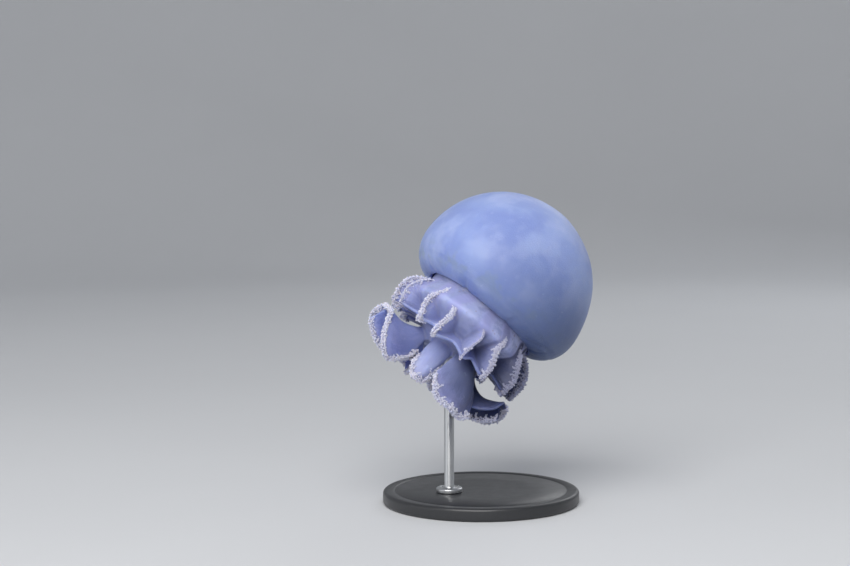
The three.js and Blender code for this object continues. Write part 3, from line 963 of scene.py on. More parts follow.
def makeSkin(parts):
    # the bell's part and the mouth's part, zipped together along one ring
    bellPoints, quads, cap, bellKind = bellSurface()
    mouthPoints, triangles, rim = mouthSurface(parts)
    start = len(bellPoints)
    points = np.concatenate([bellPoints, mouthPoints])
    kind = np.concatenate([bellKind, np.full(len(mouthPoints), 3.0)])
    lastRing = np.arange(start - bellShape["columns"], start)
    seam = zipped(points, lastRing, rim + start)
    faceSets = [quads, cap, triangles + start, seam]
    mesh = meshOf("skin", toWorld(points), faceSets)
    shape = bmesh.new()
    shape.from_mesh(mesh)
    bmesh.ops.recalc_face_normals(shape, faces=shape.faces[:])
    openEdges = sum(1 for e in shape.edges if not e.is_manifold)
    shape.to_mesh(mesh)
    shape.free()
    markSkin(mesh, points, kind, parts)
    count = sum(len(f) * (f.shape[1] - 2) for f in faceSets)
    print("skin:", len(points), "points,", count, "triangles,", openEdges, "open edges")
    return showMesh("skin", mesh)


parts = lobes()
skin = makeSkin(parts)
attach(skin, "root")
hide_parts(*fleshNodes())

# rows of small tapered fingers stand along every rim, with short side branches
frill = {
    "spacing": 0.58,          # mm between fingers along a rim
    "quickShare": 2.4,
    "samples": 300,           # places that measure a rim's length
    "length": 1.3,
    "lengthSpread": (0.75, 1.2),
    "width": 0.43,            # radius of a finger's belly
    "widthSpread": (0.85, 1.2),
    "wornWidth": 0.4,         # share of the width that is left where a frill is worn away
    "granule": 2.1,           # mm between the clumps that the fingers gather in
    "waver": (2.2, 0.31),     # how far the clumps leave their even steps, and how fast along the rim
    "clumpLength": (0.6, 0.65),   # share of the length between clumps, and what a clump adds
    "clumpWidth": (0.78, 0.35),
    "rootDepth": 0.4,
    "bend": 0.3,              # share of the length that a tip bends to either side, at most
    "sides": 5,
    "rings": ((0.85, 0.0), (1.0, 0.35), (0.88, 0.7), (0.5, 0.93)),    # width and height
    "cells": 2,               # across and up in the unwrap, one for each lobe
    "patch": (0.0012, 0.0006),    # size of a finger in the unwrap, and how far it leans
}
edgeRows = {
    "angles": (-72, -24, 24, 72),   # degrees round the rim's edge
    "scatter": 14,            # degrees more or less for each finger
    "shift": 0.4,             # share of the spacing that a finger moves along the rim, at most
    "stray": 0.22,            # spread of the directions
    "depth": 0.9,             # how far across the half thickness the roots stand
    "outward": 0.45,          # and how far out
}
faceRows = {
    "depths": (0.8, 1.6),     # mm in from the rim, on both faces
    "wave": (0.3, 1.9),       # share of the depth, and how fast along the rim
    "scatter": 0.2,           # mm
    "shift": 0.5,
    "stray": 0.25,
    "thinning": 0.3,          # share of the fingers that each further row loses
    "lean": (0.75, 0.3),      # outwards, and how much less in each further row
    "length": (0.78, 0.2),    # share, and how much less in each further row
}
branchRows = {
    "spacing": 4.4,           # mm between side branches
    "start": (0.1, 0.9),      # where in its spacing a branch starts
    "reach": (1.8, 4.6),      # mm into the face
    "drift": 0.5,             # mm sideways for each mm inwards, at most
    "step": 0.55,             # mm between the fingers of a lane
    "stagger": 0.25,          # share of a step, outwards for one lane and inwards for the other
    "halfGap": 0.3,           # mm from a branch's middle to each lane
    "wave": (0.25, 2),        # mm, and how fast inwards
    "lean": 0.35,
    "fade": 0.5,              # share of the length lost at the end
    "lengthSpread": (0.55, 1.0),
    "fadedWidth": (0.75, 0.3),
    "widthSpread": (0.85, 1.15),
}
frillGroups = {"scapuletFrill": (("fan",), "scapulets"), "armFrill": (("hood", "keel"), "oral_arms")}


def fingerTemplate():
    # rings of a tapered finger along z from 0 to 1, a tip point, and its closed faces
    sides = frill["sides"]
    rings = np.array(frill["rings"])
    turn = np.arange(sides) * 2 * np.pi / sides
    points = np.stack([
        rings[:, 0:1] * np.cos(turn), rings[:, 0:1] * np.sin(turn),
        np.repeat(rings[:, 1:2], sides, axis=1)], axis=-1).reshape(-1, 3)
    quads = gridQuads(len(rings), sides, wrap=True)
    tip = capFaces(len(points), len(points) - sides, sides)[:, [1, 2, 0]]
    root = np.stack([np.zeros(sides - 2, int), np.arange(2, sides), np.arange(1, sides - 1)], axis=-1)
    faces = np.concatenate([quads[:, [0, 3, 2]], quads[:, [0, 2, 1]], tip, root])
    return np.concatenate([points, [[0, 0, 1.0]]]), faces


def rimLine(part):
    # the rim that carries a frill: for t in 0..1 the parameters (a, q) on the rim
    endA, (startQ, endQ) = part["spanA"][1], part["spanQ"]
    if part["kind"] == "keel":
        return lambda t: (0.04 + 0.92 * t, np.full_like(t, endQ))
    if part["kind"] == "fan":
        # out along the lower edge, then up the rim
        return lambda t: (0.88 * np.clip((t - 0.14) / 0.86, 0, 1), endQ * np.clip(0.72 + 2 * t, 0, 1))
    start, end = armPoses[part["unit"]]["frilled"]

    def hoodRim(t):
        # up the left side, across the tip and down the right side
        u = lerp(start, end, t)
        a = lerp(0.3, endA, np.clip(3 * np.minimum(u, 1 - u), 0, 1))
        return a, lerp(startQ, endQ, np.clip(3 * u - 1, 0, 1))

    return hoodRim


def insideOf(part, a, q):
    # the direction in (a, q) that leads from the rim into the lobe
    if part["kind"] == "hood":
        return 0.4 - a, 0.5 - q
    onLowerEdge = q < part["spanQ"][1] - 1e-6
    return np.where(onLowerEdge, 0.6, 0.0), np.where(onLowerEdge, -0.1, -1.0)


def rimFrame(part, line, t):
    # (a, q), place, surface normal, direction out of the lobe, and mm for each step inwards
    a, q = line(t)
    place = part["place"]
    centre = place(a, q)
    normal = surfaceNormal(place, a, q)
    step = 1e-3
    tangent = unit(place(*line(t + step)) - centre)
    inA, inQ = insideOf(part, a, q)
    inward = place(a + inA * step, q + inQ * step) - centre
    out = unit(np.cross(tangent, normal))
    out = out * -np.sign(np.einsum("ij,ij->i", out, inward))[:, None]
    return a, q, centre, normal, out, np.linalg.norm(inward, axis=-1) / step


class Rim:
    # a lobe's rim, measured in mm along it, and where fingers stand on it

    def __init__(self, part, rng):
        self.part, self.rng = part, rng
        self.line, self.strength = rimLine(part), part["strength"]
        self.samples = np.linspace(0, 1, frill["samples"])
        steps = np.linalg.norm(np.diff(part["place"](*self.line(self.samples)), axis=0), axis=1)
        self.travelled = np.concatenate([[0], np.cumsum(steps)])
        self.length = self.travelled[-1]
        self.spacing = frill["spacing"] * 1
        self.count = int(self.length / self.spacing)

    def marks(self, shift):
        # mm along the rim, a spacing apart and each moved by up to a share of it
        return (np.arange(self.count) + self.rng.uniform(-shift, shift, self.count) + 0.5) * self.spacing

    def frameAt(self, mark):
        return rimFrame(self.part, self.line, np.interp(mark, self.travelled, self.samples))

    def sizes(self, mark, base):
        # fingers gather in clumps, and a worn frill is low and thin
        n, worn = len(mark), frill["wornWidth"]
        (waver, pace), (low, rise) = frill["waver"], frill["clumpLength"]
        thin, swell = frill["clumpWidth"]
        phase = 2 * np.pi * mark / frill["granule"] + waver * np.sin(mark * pace + self.part["unit"])
        clump = 0.5 + 0.5 * np.cos(phase)
        length = frill["length"] * base * (low + rise * clump)
        length = length * self.rng.uniform(*frill["lengthSpread"], n) * self.strength
        width = frill["width"] * (thin + swell * clump) * self.rng.uniform(*frill["widthSpread"], n)
        return length, width * (worn + (1 - worn) * self.strength)

    def onFace(self, face, mark, depth, lean):
        # rim places moved some way into the lobe: root, direction and (a, q) of fingers on that face
        part = self.part
        a, q, _, _, out, pace = self.frameAt(mark)
        inA, inQ = insideOf(part, a, q)
        share = depth / np.maximum(pace, 1e-6)
        a, q = a + inA * share, q + inQ * share
        normal = surfaceNormal(part["place"], a, q)
        stray = self.rng.normal(0, faceRows["stray"], normal.shape)
        direction = unit(face * normal + lean * out + stray)
        root = part["place"](a, q) + face * normal * part["half"](a, q)[:, None]
        return root, direction, a, q


def edgeFingers(rim):
    # rows round the rim's edge
    found, rng, count = [], rim.rng, rim.count
    scatter, outward = edgeRows["scatter"], edgeRows["outward"]
    for angle in edgeRows["angles"]:
        mark = rim.marks(edgeRows["shift"])
        a, q, centre, normal, out, _ = rim.frameAt(mark)
        half = rim.part["half"](a, q)[:, None] * edgeRows["depth"]
        phi = np.radians(angle + rng.uniform(-scatter, scatter, count))[:, None]
        stray = rng.normal(0, edgeRows["stray"], (count, 3))
        direction = unit(np.cos(phi) * out + np.sin(phi) * normal + stray)
        root = centre + (np.cos(phi) * out * outward + np.sin(phi) * normal) * half
        found.append((root, direction, *rim.sizes(mark, 1.0), a, q))
    return found


def faceFingers(rim, face):
    # rows that stand on the face beside the rim
    found, rng, scatter = [], rim.rng, faceRows["scatter"]
    (share, pace), (lean, leanLess), (base, baseLess) = (
        faceRows[key] for key in ("wave", "lean", "length"))
    for number, depth in enumerate(faceRows["depths"]):
        mark = rim.marks(faceRows["shift"])
        depths = depth * (1 + share * np.sin(mark * pace + face + 3 * number))
        depths = depths + rng.uniform(-scatter, scatter, rim.count)
        keep = rng.uniform(0, 1, rim.count) < rim.strength * (1.0 - faceRows["thinning"] * number)
        mark, depths = mark[keep], depths[keep]
        root, direction, a, q = rim.onFace(face, mark, depths, lean - leanLess * number)
        found.append((root, direction, *rim.sizes(mark, base - baseLess * number), a, q))
    return found


def branchFingers(rim, face):
    # side branches: short double rows that run from the rim into the face
    found, rng, rows = [], rim.rng, branchRows
    count = int(rim.length / rows["spacing"] * rim.strength)
    start = (np.arange(count) + rng.uniform(*rows["start"], count)) * rim.length / max(count, 1)
    reach = rng.uniform(*rows["reach"], count)
    drift = rng.uniform(-rows["drift"], rows["drift"], count)
    (swing, pace), (thin, swell) = rows["wave"], rows["fadedWidth"]
    for k in range(2 * int(rows["reach"][1] / rows["step"])):
        lane = k % 2 * 2 - 1
        depth = (k // 2 + 0.5 + rows["stagger"] * lane) * rows["step"]
        keep = depth < reach
        if not keep.any():
            continue
        wave = swing * np.sin(depth * pace + start)
        mark = (start + drift * depth + lane * rows["halfGap"] + wave)[keep]
        root, direction, a, q = rim.onFace(face, np.clip(mark, 0, rim.length), depth, rows["lean"])
        left = 1 - rows["fade"] * depth / reach[keep]
        length = frill["length"] * left * rng.uniform(*rows["lengthSpread"], len(mark))
        width = frill["width"] * (thin + swell * left) * rng.uniform(*rows["widthSpread"], len(mark))
        found.append((root, direction, length, width, a, q))
    return found


def fingersAlong(part, rng):
    # root, direction, length, width and (a, q) of every finger of a lobe
    rim = Rim(part, rng)
    found = edgeFingers(rim)
    for face in (-1, 1):
        found += faceFingers(rim, face) + branchFingers(rim, face)
    return [np.concatenate(group) for group in zip(*found)]


def frillMesh(name, group, rng):
    # every finger of a group of lobes in one mesh, each a small patch of the unwrap at its root
    template, faces = fingerTemplate()
    across, over, height = (template[None, :, k:k + 1] for k in range(3))
    cells, (patchSize, patchLean) = frill["cells"], frill["patch"]
    patch = template[None, :, :2] * patchSize + height * (0, patchLean)
    allPoints, allUv, tone, tip, navyAndShade, fingers = [], [], [], [], [], 0
    for index, part in enumerate(group):
        root, direction, length, width, a, q = fingersAlong(part, rng)
        count = len(root)
        sideA = unit(np.cross(direction, rng.normal(0, 1, (count, 3))))
        sideB = np.cross(direction, sideA)
        bend = rng.uniform(-frill["bend"], frill["bend"], (count, 1, 1))
        bend = bend * height ** 2 * length[:, None, None]
        root = root - direction * frill["rootDepth"]
        wide = width[:, None, None]
        tall = (length + frill["rootDepth"])[:, None, None]
        points = (
            root[:, None, :]
            + (across * wide + bend) * sideA[:, None, :]
            + over * wide * sideB[:, None, :]
            + height * tall * direction[:, None, :])
        allPoints.append(points.reshape(-1, 3))
        row, column = divmod(index, cells)
        u = (column + 0.03 + 0.94 * np.clip(a, 0, 1)) / cells
        v = (row + 0.03 + 0.94 * np.clip(q, 0, 1)) / cells
        allUv.append((np.stack([u, v], axis=-1)[:, None, :] + patch).reshape(-1, 2))
        tone.append(np.repeat(rng.uniform(0, 1, count), len(template)))
        tip.append(np.tile(template[:, 2], count))
        # frills on the right side turn slate: navy flesh and painted shade
        clear = facing(azimuthOf(root), skinTones["navyAndShadeAzimuth"]) ** 6
        clear = clear * (1.0 if part["kind"] == "fan" else 0.45)
        navyAndShade.append(np.repeat(clear, len(template)))
        fingers += count
    starts = np.arange(fingers)[:, None, None] * len(template)
    triangles = (faces[None, :, :] + starts).reshape(-1, 3)
    mesh = meshOf(name, toWorld(np.concatenate(allPoints)), [triangles])
    uv = np.concatenate(allUv)[triangles.ravel()]
    mesh.uv_layers.new(name="OFBake").data.foreach_set("uv", uv.astype(np.float32).ravel())
    for label, values in (("tone", tone), ("tip", tip), ("navyAndShade", navyAndShade)):
        addValue(mesh, label, np.concatenate(values))
    print(name, fingers, "fingers,", len(triangles), "triangles")
    return showMesh(name, mesh)


def makeFrills(parts):
    # one piece for each tier of two neighbouring units
    rng = np.random.default_rng(8)
    made = []
    for label, (kinds, slot) in frillGroups.items():
        for pair in range(unitCount // 2):
            group = [part for part in parts if part["kind"] in kinds and part["unit"] // 2 == pair]
            piece = frillMesh(f"{label}{pair + 1}", group, rng)
            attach(piece, "root")
            made.append(piece)
    return made


frills = makeFrills(parts)

# the stand's lengths are in mm too, and its places come from its nodes' boxes
standShape = {
    "foot": 0.9,              # how far the underside is hollowed inside its ring
    "ring": (6.0, 5.0),       # from the rim to where the hollow ends and where the ring stands
    "edge": 2.0,              # rounding of the base's rim
    "groove": (52.5, 0.45),   # radius and depth of a turned groove in the top
    "grooveSide": ((1.1, 0), (0.8, 0.5), (0.35, 0.95)),      # its half width and share of the depth
    "flatRadius": 30.0,       # one more ring on the flat top
    "segments": 192,
    "sharp": 40,              # degrees past which an edge stays sharp
}
rodShape = {
    "radius": 3.0,
    "sunk": 0.3,              # the foot closes the cut between the two solids
    "plate": 3.0,             # thickness of the foot's flange
    "chamfer": 0.6,
    "rounding": 1.0,
    "fillet": ((0.9, 0.0), (0.3, 0.25), (0.0, 0.9)),     # out from the rod, up from the flange
    "top": ((0.0, 1.0), (0.35, 0.35), (1.0, 0.0)),       # in from the rod, down from its end
    "screws": 3,
    "screwRing": 5.6,
    # radius and height of a small screw head with a round socket
    "screwHead": (
        (0, -0.4), (1.0, -0.4), (1.25, 0.28), (1.05, 0.4), (0.62, 0.4), (0.55, -0.25), (0, -0.25)),
    "screwSegments": 24,
    "segments": 72,
    "sharp": 35,
}


def lathe(line, segments, centre=(0, 0)):
    # a profile of (radius, level) turned round an upright axis, which its first and last points are on
    line = np.asarray(line, float)
    azimuth = np.arange(segments) * 2 * np.pi / segments
    inner = line[1:-1]
    rings = np.stack([
        centre[0] + inner[:, 0:1] * np.cos(azimuth), centre[1] + inner[:, 0:1] * np.sin(azimuth),
        np.repeat(inner[:, 1:2], segments, axis=1)], axis=-1)
    return closedBody(rings, [[*centre, line[0, 1]], [*centre, line[-1, 1]]])


def arc(centre, radius, start, end):
    turn = np.radians(np.linspace(start, end, 8))
    return [(centre[0] + radius * math.cos(t), centre[1] + radius * math.sin(t)) for t in turn]


def smoothByAngle(piece, degrees):
    sharp = math.radians(degrees)
    shape = bmesh.new()
    shape.from_mesh(piece.data)
    for edge in shape.edges:
        edge.smooth = len(edge.link_faces) == 2 and edge.calc_face_angle(0) < sharp
    shape.to_mesh(piece.data)
    shape.free()


def makeStandBase():
    # a hollow-footed disc with a rounded rim and one turned groove
    shape = standShape
    low, high = (np.array(corner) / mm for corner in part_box("stand_base"))
    radius, height = (high[0] - low[0]) / 2, high[2]
    edge, foot = shape["edge"], shape["foot"]
    hollowEnd, ringStart = shape["ring"]
    line = [(0, foot), (radius - hollowEnd, foot), (radius - ringStart, 0.0), (radius - edge, 0.0)]
    line += arc((radius - edge, edge), edge, -90, 0)
    line += arc((radius - edge, height - edge), edge, 0, 90)
    grooveAt, grooveDepth = shape["groove"]
    outer = list(shape["grooveSide"])
    inner = [(-offset, share) for offset, share in reversed(outer)]
    for offset, share in outer + [(0, 1)] + inner:
        line.append((grooveAt + offset, height - grooveDepth * share))
    line += [(shape["flatRadius"], height), (0, height)]
    piece = showMesh("baseDisc", joined("baseDisc", [lathe(line, shape["segments"])], mm))
    smoothByAngle(piece, shape["sharp"])
    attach(piece, "root")
    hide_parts("stand_base")
    return piece


def makeStandRod():
    # a rod on a chamfered flange that three screws hold
    shape = rodShape
    low, high = (np.array(corner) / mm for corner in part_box("stand_rod"))
    centre = ((low[0] + high[0]) / 2, (low[1] + high[1]) / 2)
    flange, radius = (high[0] - low[0]) / 2, shape["radius"]
    foot, top = low[2] - shape["sunk"], high[2]
    level = foot + shape["plate"]
    chamfer, rounding = shape["chamfer"], shape["rounding"]
    line = [(0, foot), (flange - chamfer, foot), (flange, foot + chamfer)]
    line += arc((flange - rounding, level - rounding), rounding, 0, 90)
    line += [(radius + out, level + up) for out, up in shape["fillet"]]
    line += [(radius - inwards, top - down) for inwards, down in shape["top"]] + [(0, top)]
    shells = [lathe(line, shape["segments"], centre)]
    head = [(out, level + up) for out, up in shape["screwHead"]]
    ring = shape["screwRing"]
    for k in range(shape["screws"]):
        turn = 2 * math.pi * (k + 0.25) / shape["screws"]
        place = (centre[0] + ring * math.cos(turn), centre[1] + ring * math.sin(turn))
        shells.append(lathe(head, shape["screwSegments"], place))
    piece = showMesh("steelRod", joined("steelRod", shells, mm))
    smoothByAngle(piece, shape["sharp"])
    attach(piece, "root")
    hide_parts("stand_rod")
    return piece


baseDisc = makeStandBase()
steelRod = makeStandRod()
print("stand made")


class Finish:
    # a small builder of shader nodes
    def __init__(self, name):
        self.material = bpy.data.materials.new(name)
        self.material.use_nodes = True
        self.tree = self.material.node_tree
        self.shader = self.tree.nodes["Principled BSDF"]

    def link(self, source, target):
        if isinstance(source, (int, float, tuple)):
            target.default_value = source
        else:
            self.tree.links.new(source, target)

    def node(self, kind, **settings):
        node = self.tree.nodes.new(kind)
        for key, value in settings.items():
            setattr(node, key, value)
        return node

    def value(self, name):
        return self.node("ShaderNodeAttribute", attribute_name=name).outputs["Fac"]

    def vector(self, name):
        return self.node("ShaderNodeAttribute", attribute_name=name).outputs["Vector"]

    def objectPlace(self):
        # metres from the piece's own origin
        return self.node("ShaderNodeTexCoord").outputs["Object"]

    def scaled(self, vector, scale):
        node = self.node("ShaderNodeMapping")
        self.link(vector, node.inputs["Vector"])
        node.inputs["Scale"].default_value = scale
        return node.outputs["Vector"]

    def noise(self, vector, scale, detail=3.0, roughness=0.55, distortion=0.0):
        node = self.node("ShaderNodeTexNoise")
        self.link(vector, node.inputs["Vector"])
        node.inputs["Scale"].default_value = scale
        node.inputs["Detail"].default_value = detail
        node.inputs["Roughness"].default_value = roughness
        node.inputs["Distortion"].default_value = distortion
        return node.outputs["Fac"]

    def cells(self, vector, scale):
        # distance to the middle of the nearest cell
        node = self.node("ShaderNodeTexVoronoi")
        self.link(vector, node.inputs["Vector"])
        node.inputs["Scale"].default_value = scale
        return node.outputs["Distance"]

    def maths(self, kind, a, b=0.0, clamp=False):
        node = self.node("ShaderNodeMath", operation=kind, use_clamp=clamp)
        self.link(a, node.inputs[0])
        self.link(b, node.inputs[1])
        return node.outputs[0]

    def times(self, a, b):
        return self.maths("MULTIPLY", a, b)

    def span(self, value, low, high, outLow=0.0, outHigh=1.0):
        # smooth step of a value between two limits
        node = self.node("ShaderNodeMapRange", interpolation_type="SMOOTHSTEP")
        self.link(value, node.inputs["Value"])
        for key, number in (("From Min", low), ("From Max", high), ("To Min", outLow), ("To Max", outHigh)):
            node.inputs[key].default_value = number
        return node.outputs["Result"]

    def mix(self, a, b, amount):
        node = self.node("ShaderNodeMix", data_type="RGBA")
        for source, target in ((a, node.inputs[6]), (b, node.inputs[7]), (amount, node.inputs[0])):
            if isinstance(source, tuple):
                source = (*source, 1.0)
            self.link(source, target)
        return node.outputs[2]

    def bump(self, height, distance, strength=1.0, under=None):
        node = self.node("ShaderNodeBump")
        self.link(height, node.inputs["Height"])
        node.inputs["Distance"].default_value = distance
        node.inputs["Strength"].default_value = strength
        if under is not None:
            self.link(under, node.inputs["Normal"])
        return node.outputs["Normal"]

    def set(self, **sockets):
        for key, value in sockets.items():
            socket = self.shader.inputs[key.replace("_", " ")]
            if isinstance(value, tuple) and len(value) == 3 and socket.type == "RGBA":
                value = (*value, 1.0)
            self.link(value, socket)
        return self.material


jellyTones = {
    "bellDeep": (0.23, 0.30, 0.60),
    "bellPale": (0.30, 0.38, 0.67),
    "bellMilk": (0.41, 0.48, 0.74),
    "bellPaintedShade": (0.06, 0.09, 0.19),
    "smudge": (0.27, 0.34, 0.46),
    # painted shade in the bell's hollow
    "hollow": (0.16, 0.20, 0.50),
    "stalk": (0.37, 0.41, 0.63),
    "stalkDeep": (0.23, 0.26, 0.46),
    "massPale": (0.38, 0.42, 0.66),
    "speck": (0.25, 0.20, 0.24),
    "fan": (0.09, 0.11, 0.31),
    "fanRim": (0.36, 0.38, 0.64),
    "arm": (0.075, 0.10, 0.30),
    "armRim": (0.33, 0.35, 0.62),
    "petal": (0.065, 0.085, 0.20),
    "navyAndShade": (0.025, 0.033, 0.085),
    "bloom": (0.75, 0.78, 0.95),
    "frill": (0.64, 0.65, 0.83),
    "frillTip": (0.78, 0.77, 0.88),
    "frillRoot": (0.33, 0.345, 0.62),
    "frillNavyAndShade": (0.17, 0.18, 0.30),
}

# noise over the jelly: scale to the mm, detail, roughness and distortion
jellyGrain = {
    "clouds": (0.035, 3.0, 0.5, 0.6),
    "fine": (0.32, 4.0, 0.6),
    "milk": (0.06, 2.0),
    "smudge": (0.11, 2.0, 0.5),
    "stalkClouds": (0.12, 4.0, 0.6),
    "speckPatches": (0.16, 2.0),
    "streak": (0.9, 3.0, 0.55, 0.3),
}

# how much of each tone goes in at most, and the scale and depth of the two bumps
jellyShares = {
    "milk": 0.45,
    "smudge": 0.6,
    "paintedShade": 0.85,
    "speck": 0.8,
    "streak": 1.1,
    # painted groove shade in the petals
    "furrow": 0.5,
    "navyAndShade": 0.95,
    "mass": 0.75,
    "rimPale": 0.6,
    "bloom": 0.12,
    "speckScale": 0.42,
    "poreScale": 1.1,
    "pores": (0.00018, 0.5),
    "ripple": (0.0005, 0.35),
}

skinSurface = {
    "Roughness": 0.5, "IOR": 1.36,
    "Subsurface_Weight": 0.9, "Subsurface_Radius": (0.55, 0.7, 1.0), "Subsurface_Scale": 0.007,
    "Coat_Weight": 0.12, "Coat_Roughness": 0.3, "Coat_IOR": 1.36,
    "Sheen_Weight": 0.14, "Sheen_Roughness": 0.15, "Sheen_Tint": (0.75, 0.82, 1.0),
}

frillSurface = {
    "Roughness": 0.4, "IOR": 1.37,
    "Subsurface_Weight": 0.5, "Subsurface_Radius": (0.6, 0.75, 1.0), "Subsurface_Scale": 0.0015,
    "Coat_Weight": 0.25, "Coat_Roughness": 0.25,
}


def jellySkin():
    f = Finish("jellySkin")
    t, grain, share = jellyTones, jellyGrain, jellyShares
    body = f.vector("bodyPoint")
    clouds = f.noise(body, *grain["clouds"])
    fine = f.noise(body, *grain["fine"])
    # bell: deep and pale blue in soft clouds, milkier where the jelly is thick, smudged near the rim
    bell = f.mix(t["bellDeep"], t["bellPale"], f.span(clouds, 0.3, 0.7))
    milk = f.span(f.noise(body, *grain["milk"]), 0.45, 0.7)
    bell = f.mix(bell, t["bellMilk"], f.times(milk, share["milk"]))
    smudge = f.times(f.value("mottle"), f.span(f.noise(body, *grain["smudge"]), 0.47, 0.62))
    bell = f.mix(bell, t["smudge"], f.times(smudge, share["smudge"]))
    # painted shade darkens the bell's lower right flank
    bell = f.mix(bell, t["bellPaintedShade"], f.times(f.value("paintedShade"), share["paintedShade"]))
    # painted shade: the bell's hollow is a darker blue, as under the bell
    bell = f.mix(bell, t["hollow"], f.value("hollow"))
    # manubrium: pale lilac with darker clouds and small brown specks under the margin
    stalk = f.mix(t["stalkDeep"], t["stalk"], f.span(f.noise(body, *grain["stalkClouds"]), 0.35, 0.6))
    speck = f.span(f.cells(body, share["speckScale"]), 0.2, 0.34, 1.0, 0.0)
    speck = f.times(speck, f.span(f.noise(body, *grain["speckPatches"]), 0.53, 0.62))
    speck = f.times(speck, f.span(f.value("level"), -56, -46))
    stalk = f.mix(stalk, t["speck"], f.times(speck, share["speck"]))
    # lobes: streaks run from root to rim, and the flesh pales towards the rim
    streak = f.noise(f.vector("streak"), *grain["streak"])
    rim = f.value("rim")
    paling = f.span(rim, 0.5, 1.05)
    streaks = f.times(f.maths("SUBTRACT", streak, 0.5), share["streak"])
    pale = f.maths("ADD", paling, streaks, clamp=True)
    fan = f.mix(t["fan"], t["fanRim"], pale)
    arm = f.mix(t["arm"], t["armRim"], pale)
    petal = f.mix(t["petal"], t["armRim"], f.times(pale, f.span(rim, 0.45, 1.0)))
    # painted shade of a groove: a dark band inside the petals' rim roll
    furrow = f.times(f.span(rim, 0.84, 0.9), f.span(rim, 0.9, 0.95, 1.0, 0.0))
    petal = f.mix(petal, t["navyAndShade"], f.times(furrow, share["furrow"]))
    arm = f.mix(arm, petal, f.value("petal"))
    isFan = f.maths("DIVIDE", f.value("fan"), f.maths("ADD", f.value("lobe"), 0.001))
    lobe = f.mix(arm, fan, f.span(isFan, 0.4, 0.6))
    mouth = f.mix(stalk, lobe, f.span(f.value("lobe"), 0.05, 0.95))
    # the right side sinks to navy, partly its own colour and partly painted shade, the middle is the
    # palest, and the rims are pale everywhere else
    dark = f.times(f.value("navyAndShade"), f.span(f.value("lobe"), 0.3, 1.0))
    mouth = f.mix(mouth, t["navyAndShade"], f.times(dark, share["navyAndShade"]))
    clear = f.maths("SUBTRACT", f.value("lobe"), dark, clamp=True)
    rimPale = f.times(f.span(rim, 0.8, 0.95), clear)
    mouth = f.mix(mouth, t["massPale"], f.times(f.value("mass"), share["mass"]))
    mouth = f.mix(mouth, t["frillRoot"], f.times(rimPale, share["rimPale"]))
    outside = f.maths("ADD", f.value("bellSide"), f.value("hollow"), clamp=True)
    colour = f.mix(mouth, bell, outside)
    colour = f.mix(colour, t["bloom"], f.times(f.span(fine, 0.6, 0.8), share["bloom"]))
    pores = f.bump(f.cells(body, share["poreScale"]), *share["pores"])
    ripple = f.bump(streak, *share["ripple"], pores)
    return f.set(Base_Color=colour, Normal=ripple, **skinSurface)


def frillFlesh():
    # paler from root to tip, some fingers paler than others, slate where the lobes are navy, partly painted
    # shade
    f = Finish("frillFlesh")
    t = jellyTones
    tip, tone = f.value("tip"), f.value("tone")
    pale = f.mix(t["frillRoot"], t["frill"], f.span(tip, 0.15, 0.75))
    pale = f.mix(pale, t["frillTip"], f.times(f.span(tone, 0.6, 1.0), 0.5))
    colour = f.mix(pale, t["frillNavyAndShade"], f.times(f.value("navyAndShade"), 0.8))
    return f.set(Base_Color=colour, **frillSurface)


standTones = {
    "black": ((0.022, 0.023, 0.026), (0.026, 0.027, 0.030)),
    "steel": ((0.56, 0.57, 0.58), (0.60, 0.61, 0.62)),
    "brush": (20.0, 20.0, 1400.0),    # the steel's lines run round the rod
}


def satinBlack():
    # fine powder grain, with a little more gloss in places
    f = Finish("satinBlack")
    place = f.objectPlace()
    grain = f.noise(place, 900, 2.0)
    colour = f.mix(*standTones["black"], f.noise(place, 60, 3.0))
    rough = f.span(f.noise(place, 140, 3.0), 0.3, 0.7, 0.38, 0.42)
    return f.set(Base_Color=colour, Roughness=rough, Normal=f.bump(grain, 0.00006, 0.6), Coat_Weight=0.1)


def brushedSteel():
    f = Finish("brushedSteel")
    lines = f.noise(f.scaled(f.objectPlace(), standTones["brush"]), 1.0, 2.0, 0.5)
    colour = f.mix(*standTones["steel"], lines)
    rough = f.span(lines, 0.3, 0.7, 0.29, 0.33)
    return f.set(Base_Color=colour, Roughness=rough, Metallic=1.0, Normal=f.bump(lines, 0.00003, 0.5))


def finishWith(piece, material):
    piece.data.materials.clear()
    piece.data.materials.append(material)


skinFinish, frillFinish = jellySkin(), frillFlesh()
finishWith(skin, skinFinish)
for piece in frills:
    finishWith(piece, frillFinish)
finishWith(baseDisc, satinBlack())
finishWith(steelRod, brushedSteel())
for name in fleshNodes():
    finishWith(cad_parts[name], skinFinish)
finishWith(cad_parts["stand_base"], baseDisc.data.materials[0])
finishWith(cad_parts["stand_rod"], steelRod.data.materials[0])
print("materials made")

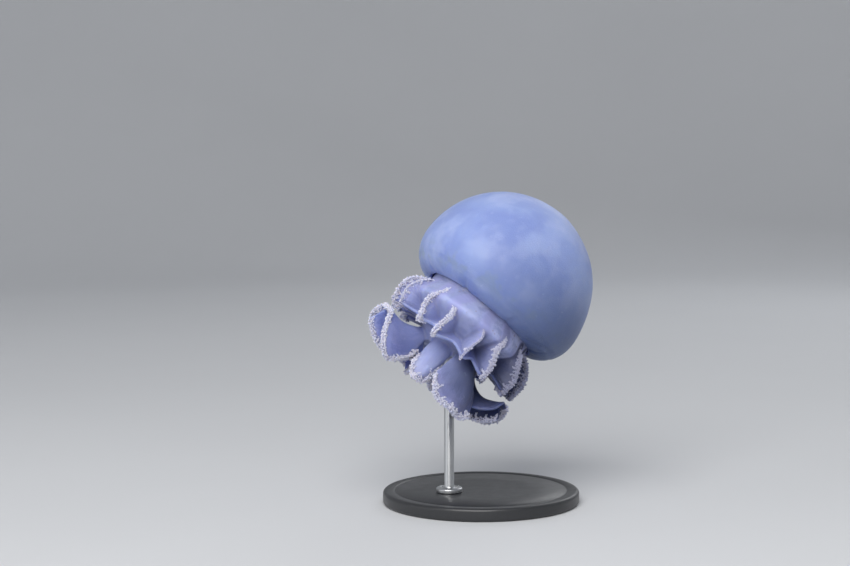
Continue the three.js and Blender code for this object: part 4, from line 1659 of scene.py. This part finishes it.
# the stage is in metres
studio = {
    "flat": 1.5,              # radius of the flat floor, which then curves up into a wall
    "bend": 1.0,
    "wall": 2.6,
    "columns": 96,
    "floorTones": ((0.60, 0.61, 0.63), (0.64, 0.65, 0.67)),
    "key": {"place": (-0.25, -1.25, 1.2), "size": 1.4, "power": 36, "colour": (1.0, 0.99, 0.97)},
    "fill": {"place": (-1.4, -0.5, 0.1), "size": 1.2, "power": 3, "colour": (0.95, 0.97, 1.0)},
    "rim": {"place": (0.6, 1.3, 0.7), "size": 0.8, "power": 3, "colour": (0.96, 0.98, 1.0)},
    "sky": (0.84, 0.88, 0.95),
    "skyPower": 0.3,
}


def paleFloor():
    f = Finish("paleFloor")
    colour = f.mix(*studio["floorTones"], f.noise(f.objectPlace(), 3.0, 3.0))
    return f.set(Base_Color=colour, Roughness=0.7)


def makeFloor():
    # flat disc that bends up through a quarter circle into a round wall
    flat, bend, columns = studio["flat"], studio["bend"], studio["columns"]
    turn = np.linspace(0, np.pi / 2, 16)
    curve = np.stack([flat + bend * np.sin(turn), bend * (1 - np.cos(turn))], axis=-1)
    line = np.concatenate([[[0.5, 0]], curve, [[flat + bend, studio["wall"]]]])
    azimuth = np.arange(columns) * 2 * np.pi / columns
    points = np.stack([
        line[:, 0:1] * np.cos(azimuth), line[:, 0:1] * np.sin(azimuth),
        np.repeat(line[:, 1:2], columns, axis=1)], axis=-1).reshape(-1, 3)
    faceSets = [gridQuads(len(line), columns, wrap=True), capFaces(len(points), 0, columns)]
    mesh = meshOf("floor", np.concatenate([points, [[0, 0, 0]]]), faceSets)
    piece = showMesh("floor", mesh)
    finishWith(piece, paleFloor())


def makeLight(name):
    settings = studio[name]
    data = bpy.data.lights.new(name, "AREA")
    data.size, data.energy, data.color = settings["size"], settings["power"], settings["colour"]
    lamp = bpy.data.objects.new(name, data)
    place = Vector(settings["place"])
    lamp.location = animalMiddle + place
    lamp.rotation_euler = (-place).to_track_quat("-Z", "Y").to_euler()
    bpy.context.collection.objects.link(lamp)


makeFloor()
for name in ("key", "fill", "rim"):
    makeLight(name)

world = bpy.data.worlds.new("studio")
world.use_nodes = True
background = world.node_tree.nodes["Background"]
background.inputs["Color"].default_value = (*studio["sky"], 1)
background.inputs["Strength"].default_value = studio["skyPower"]
bpy.context.scene.world = world
bpy.context.scene.view_settings.view_transform = "Standard"
print("stage set")
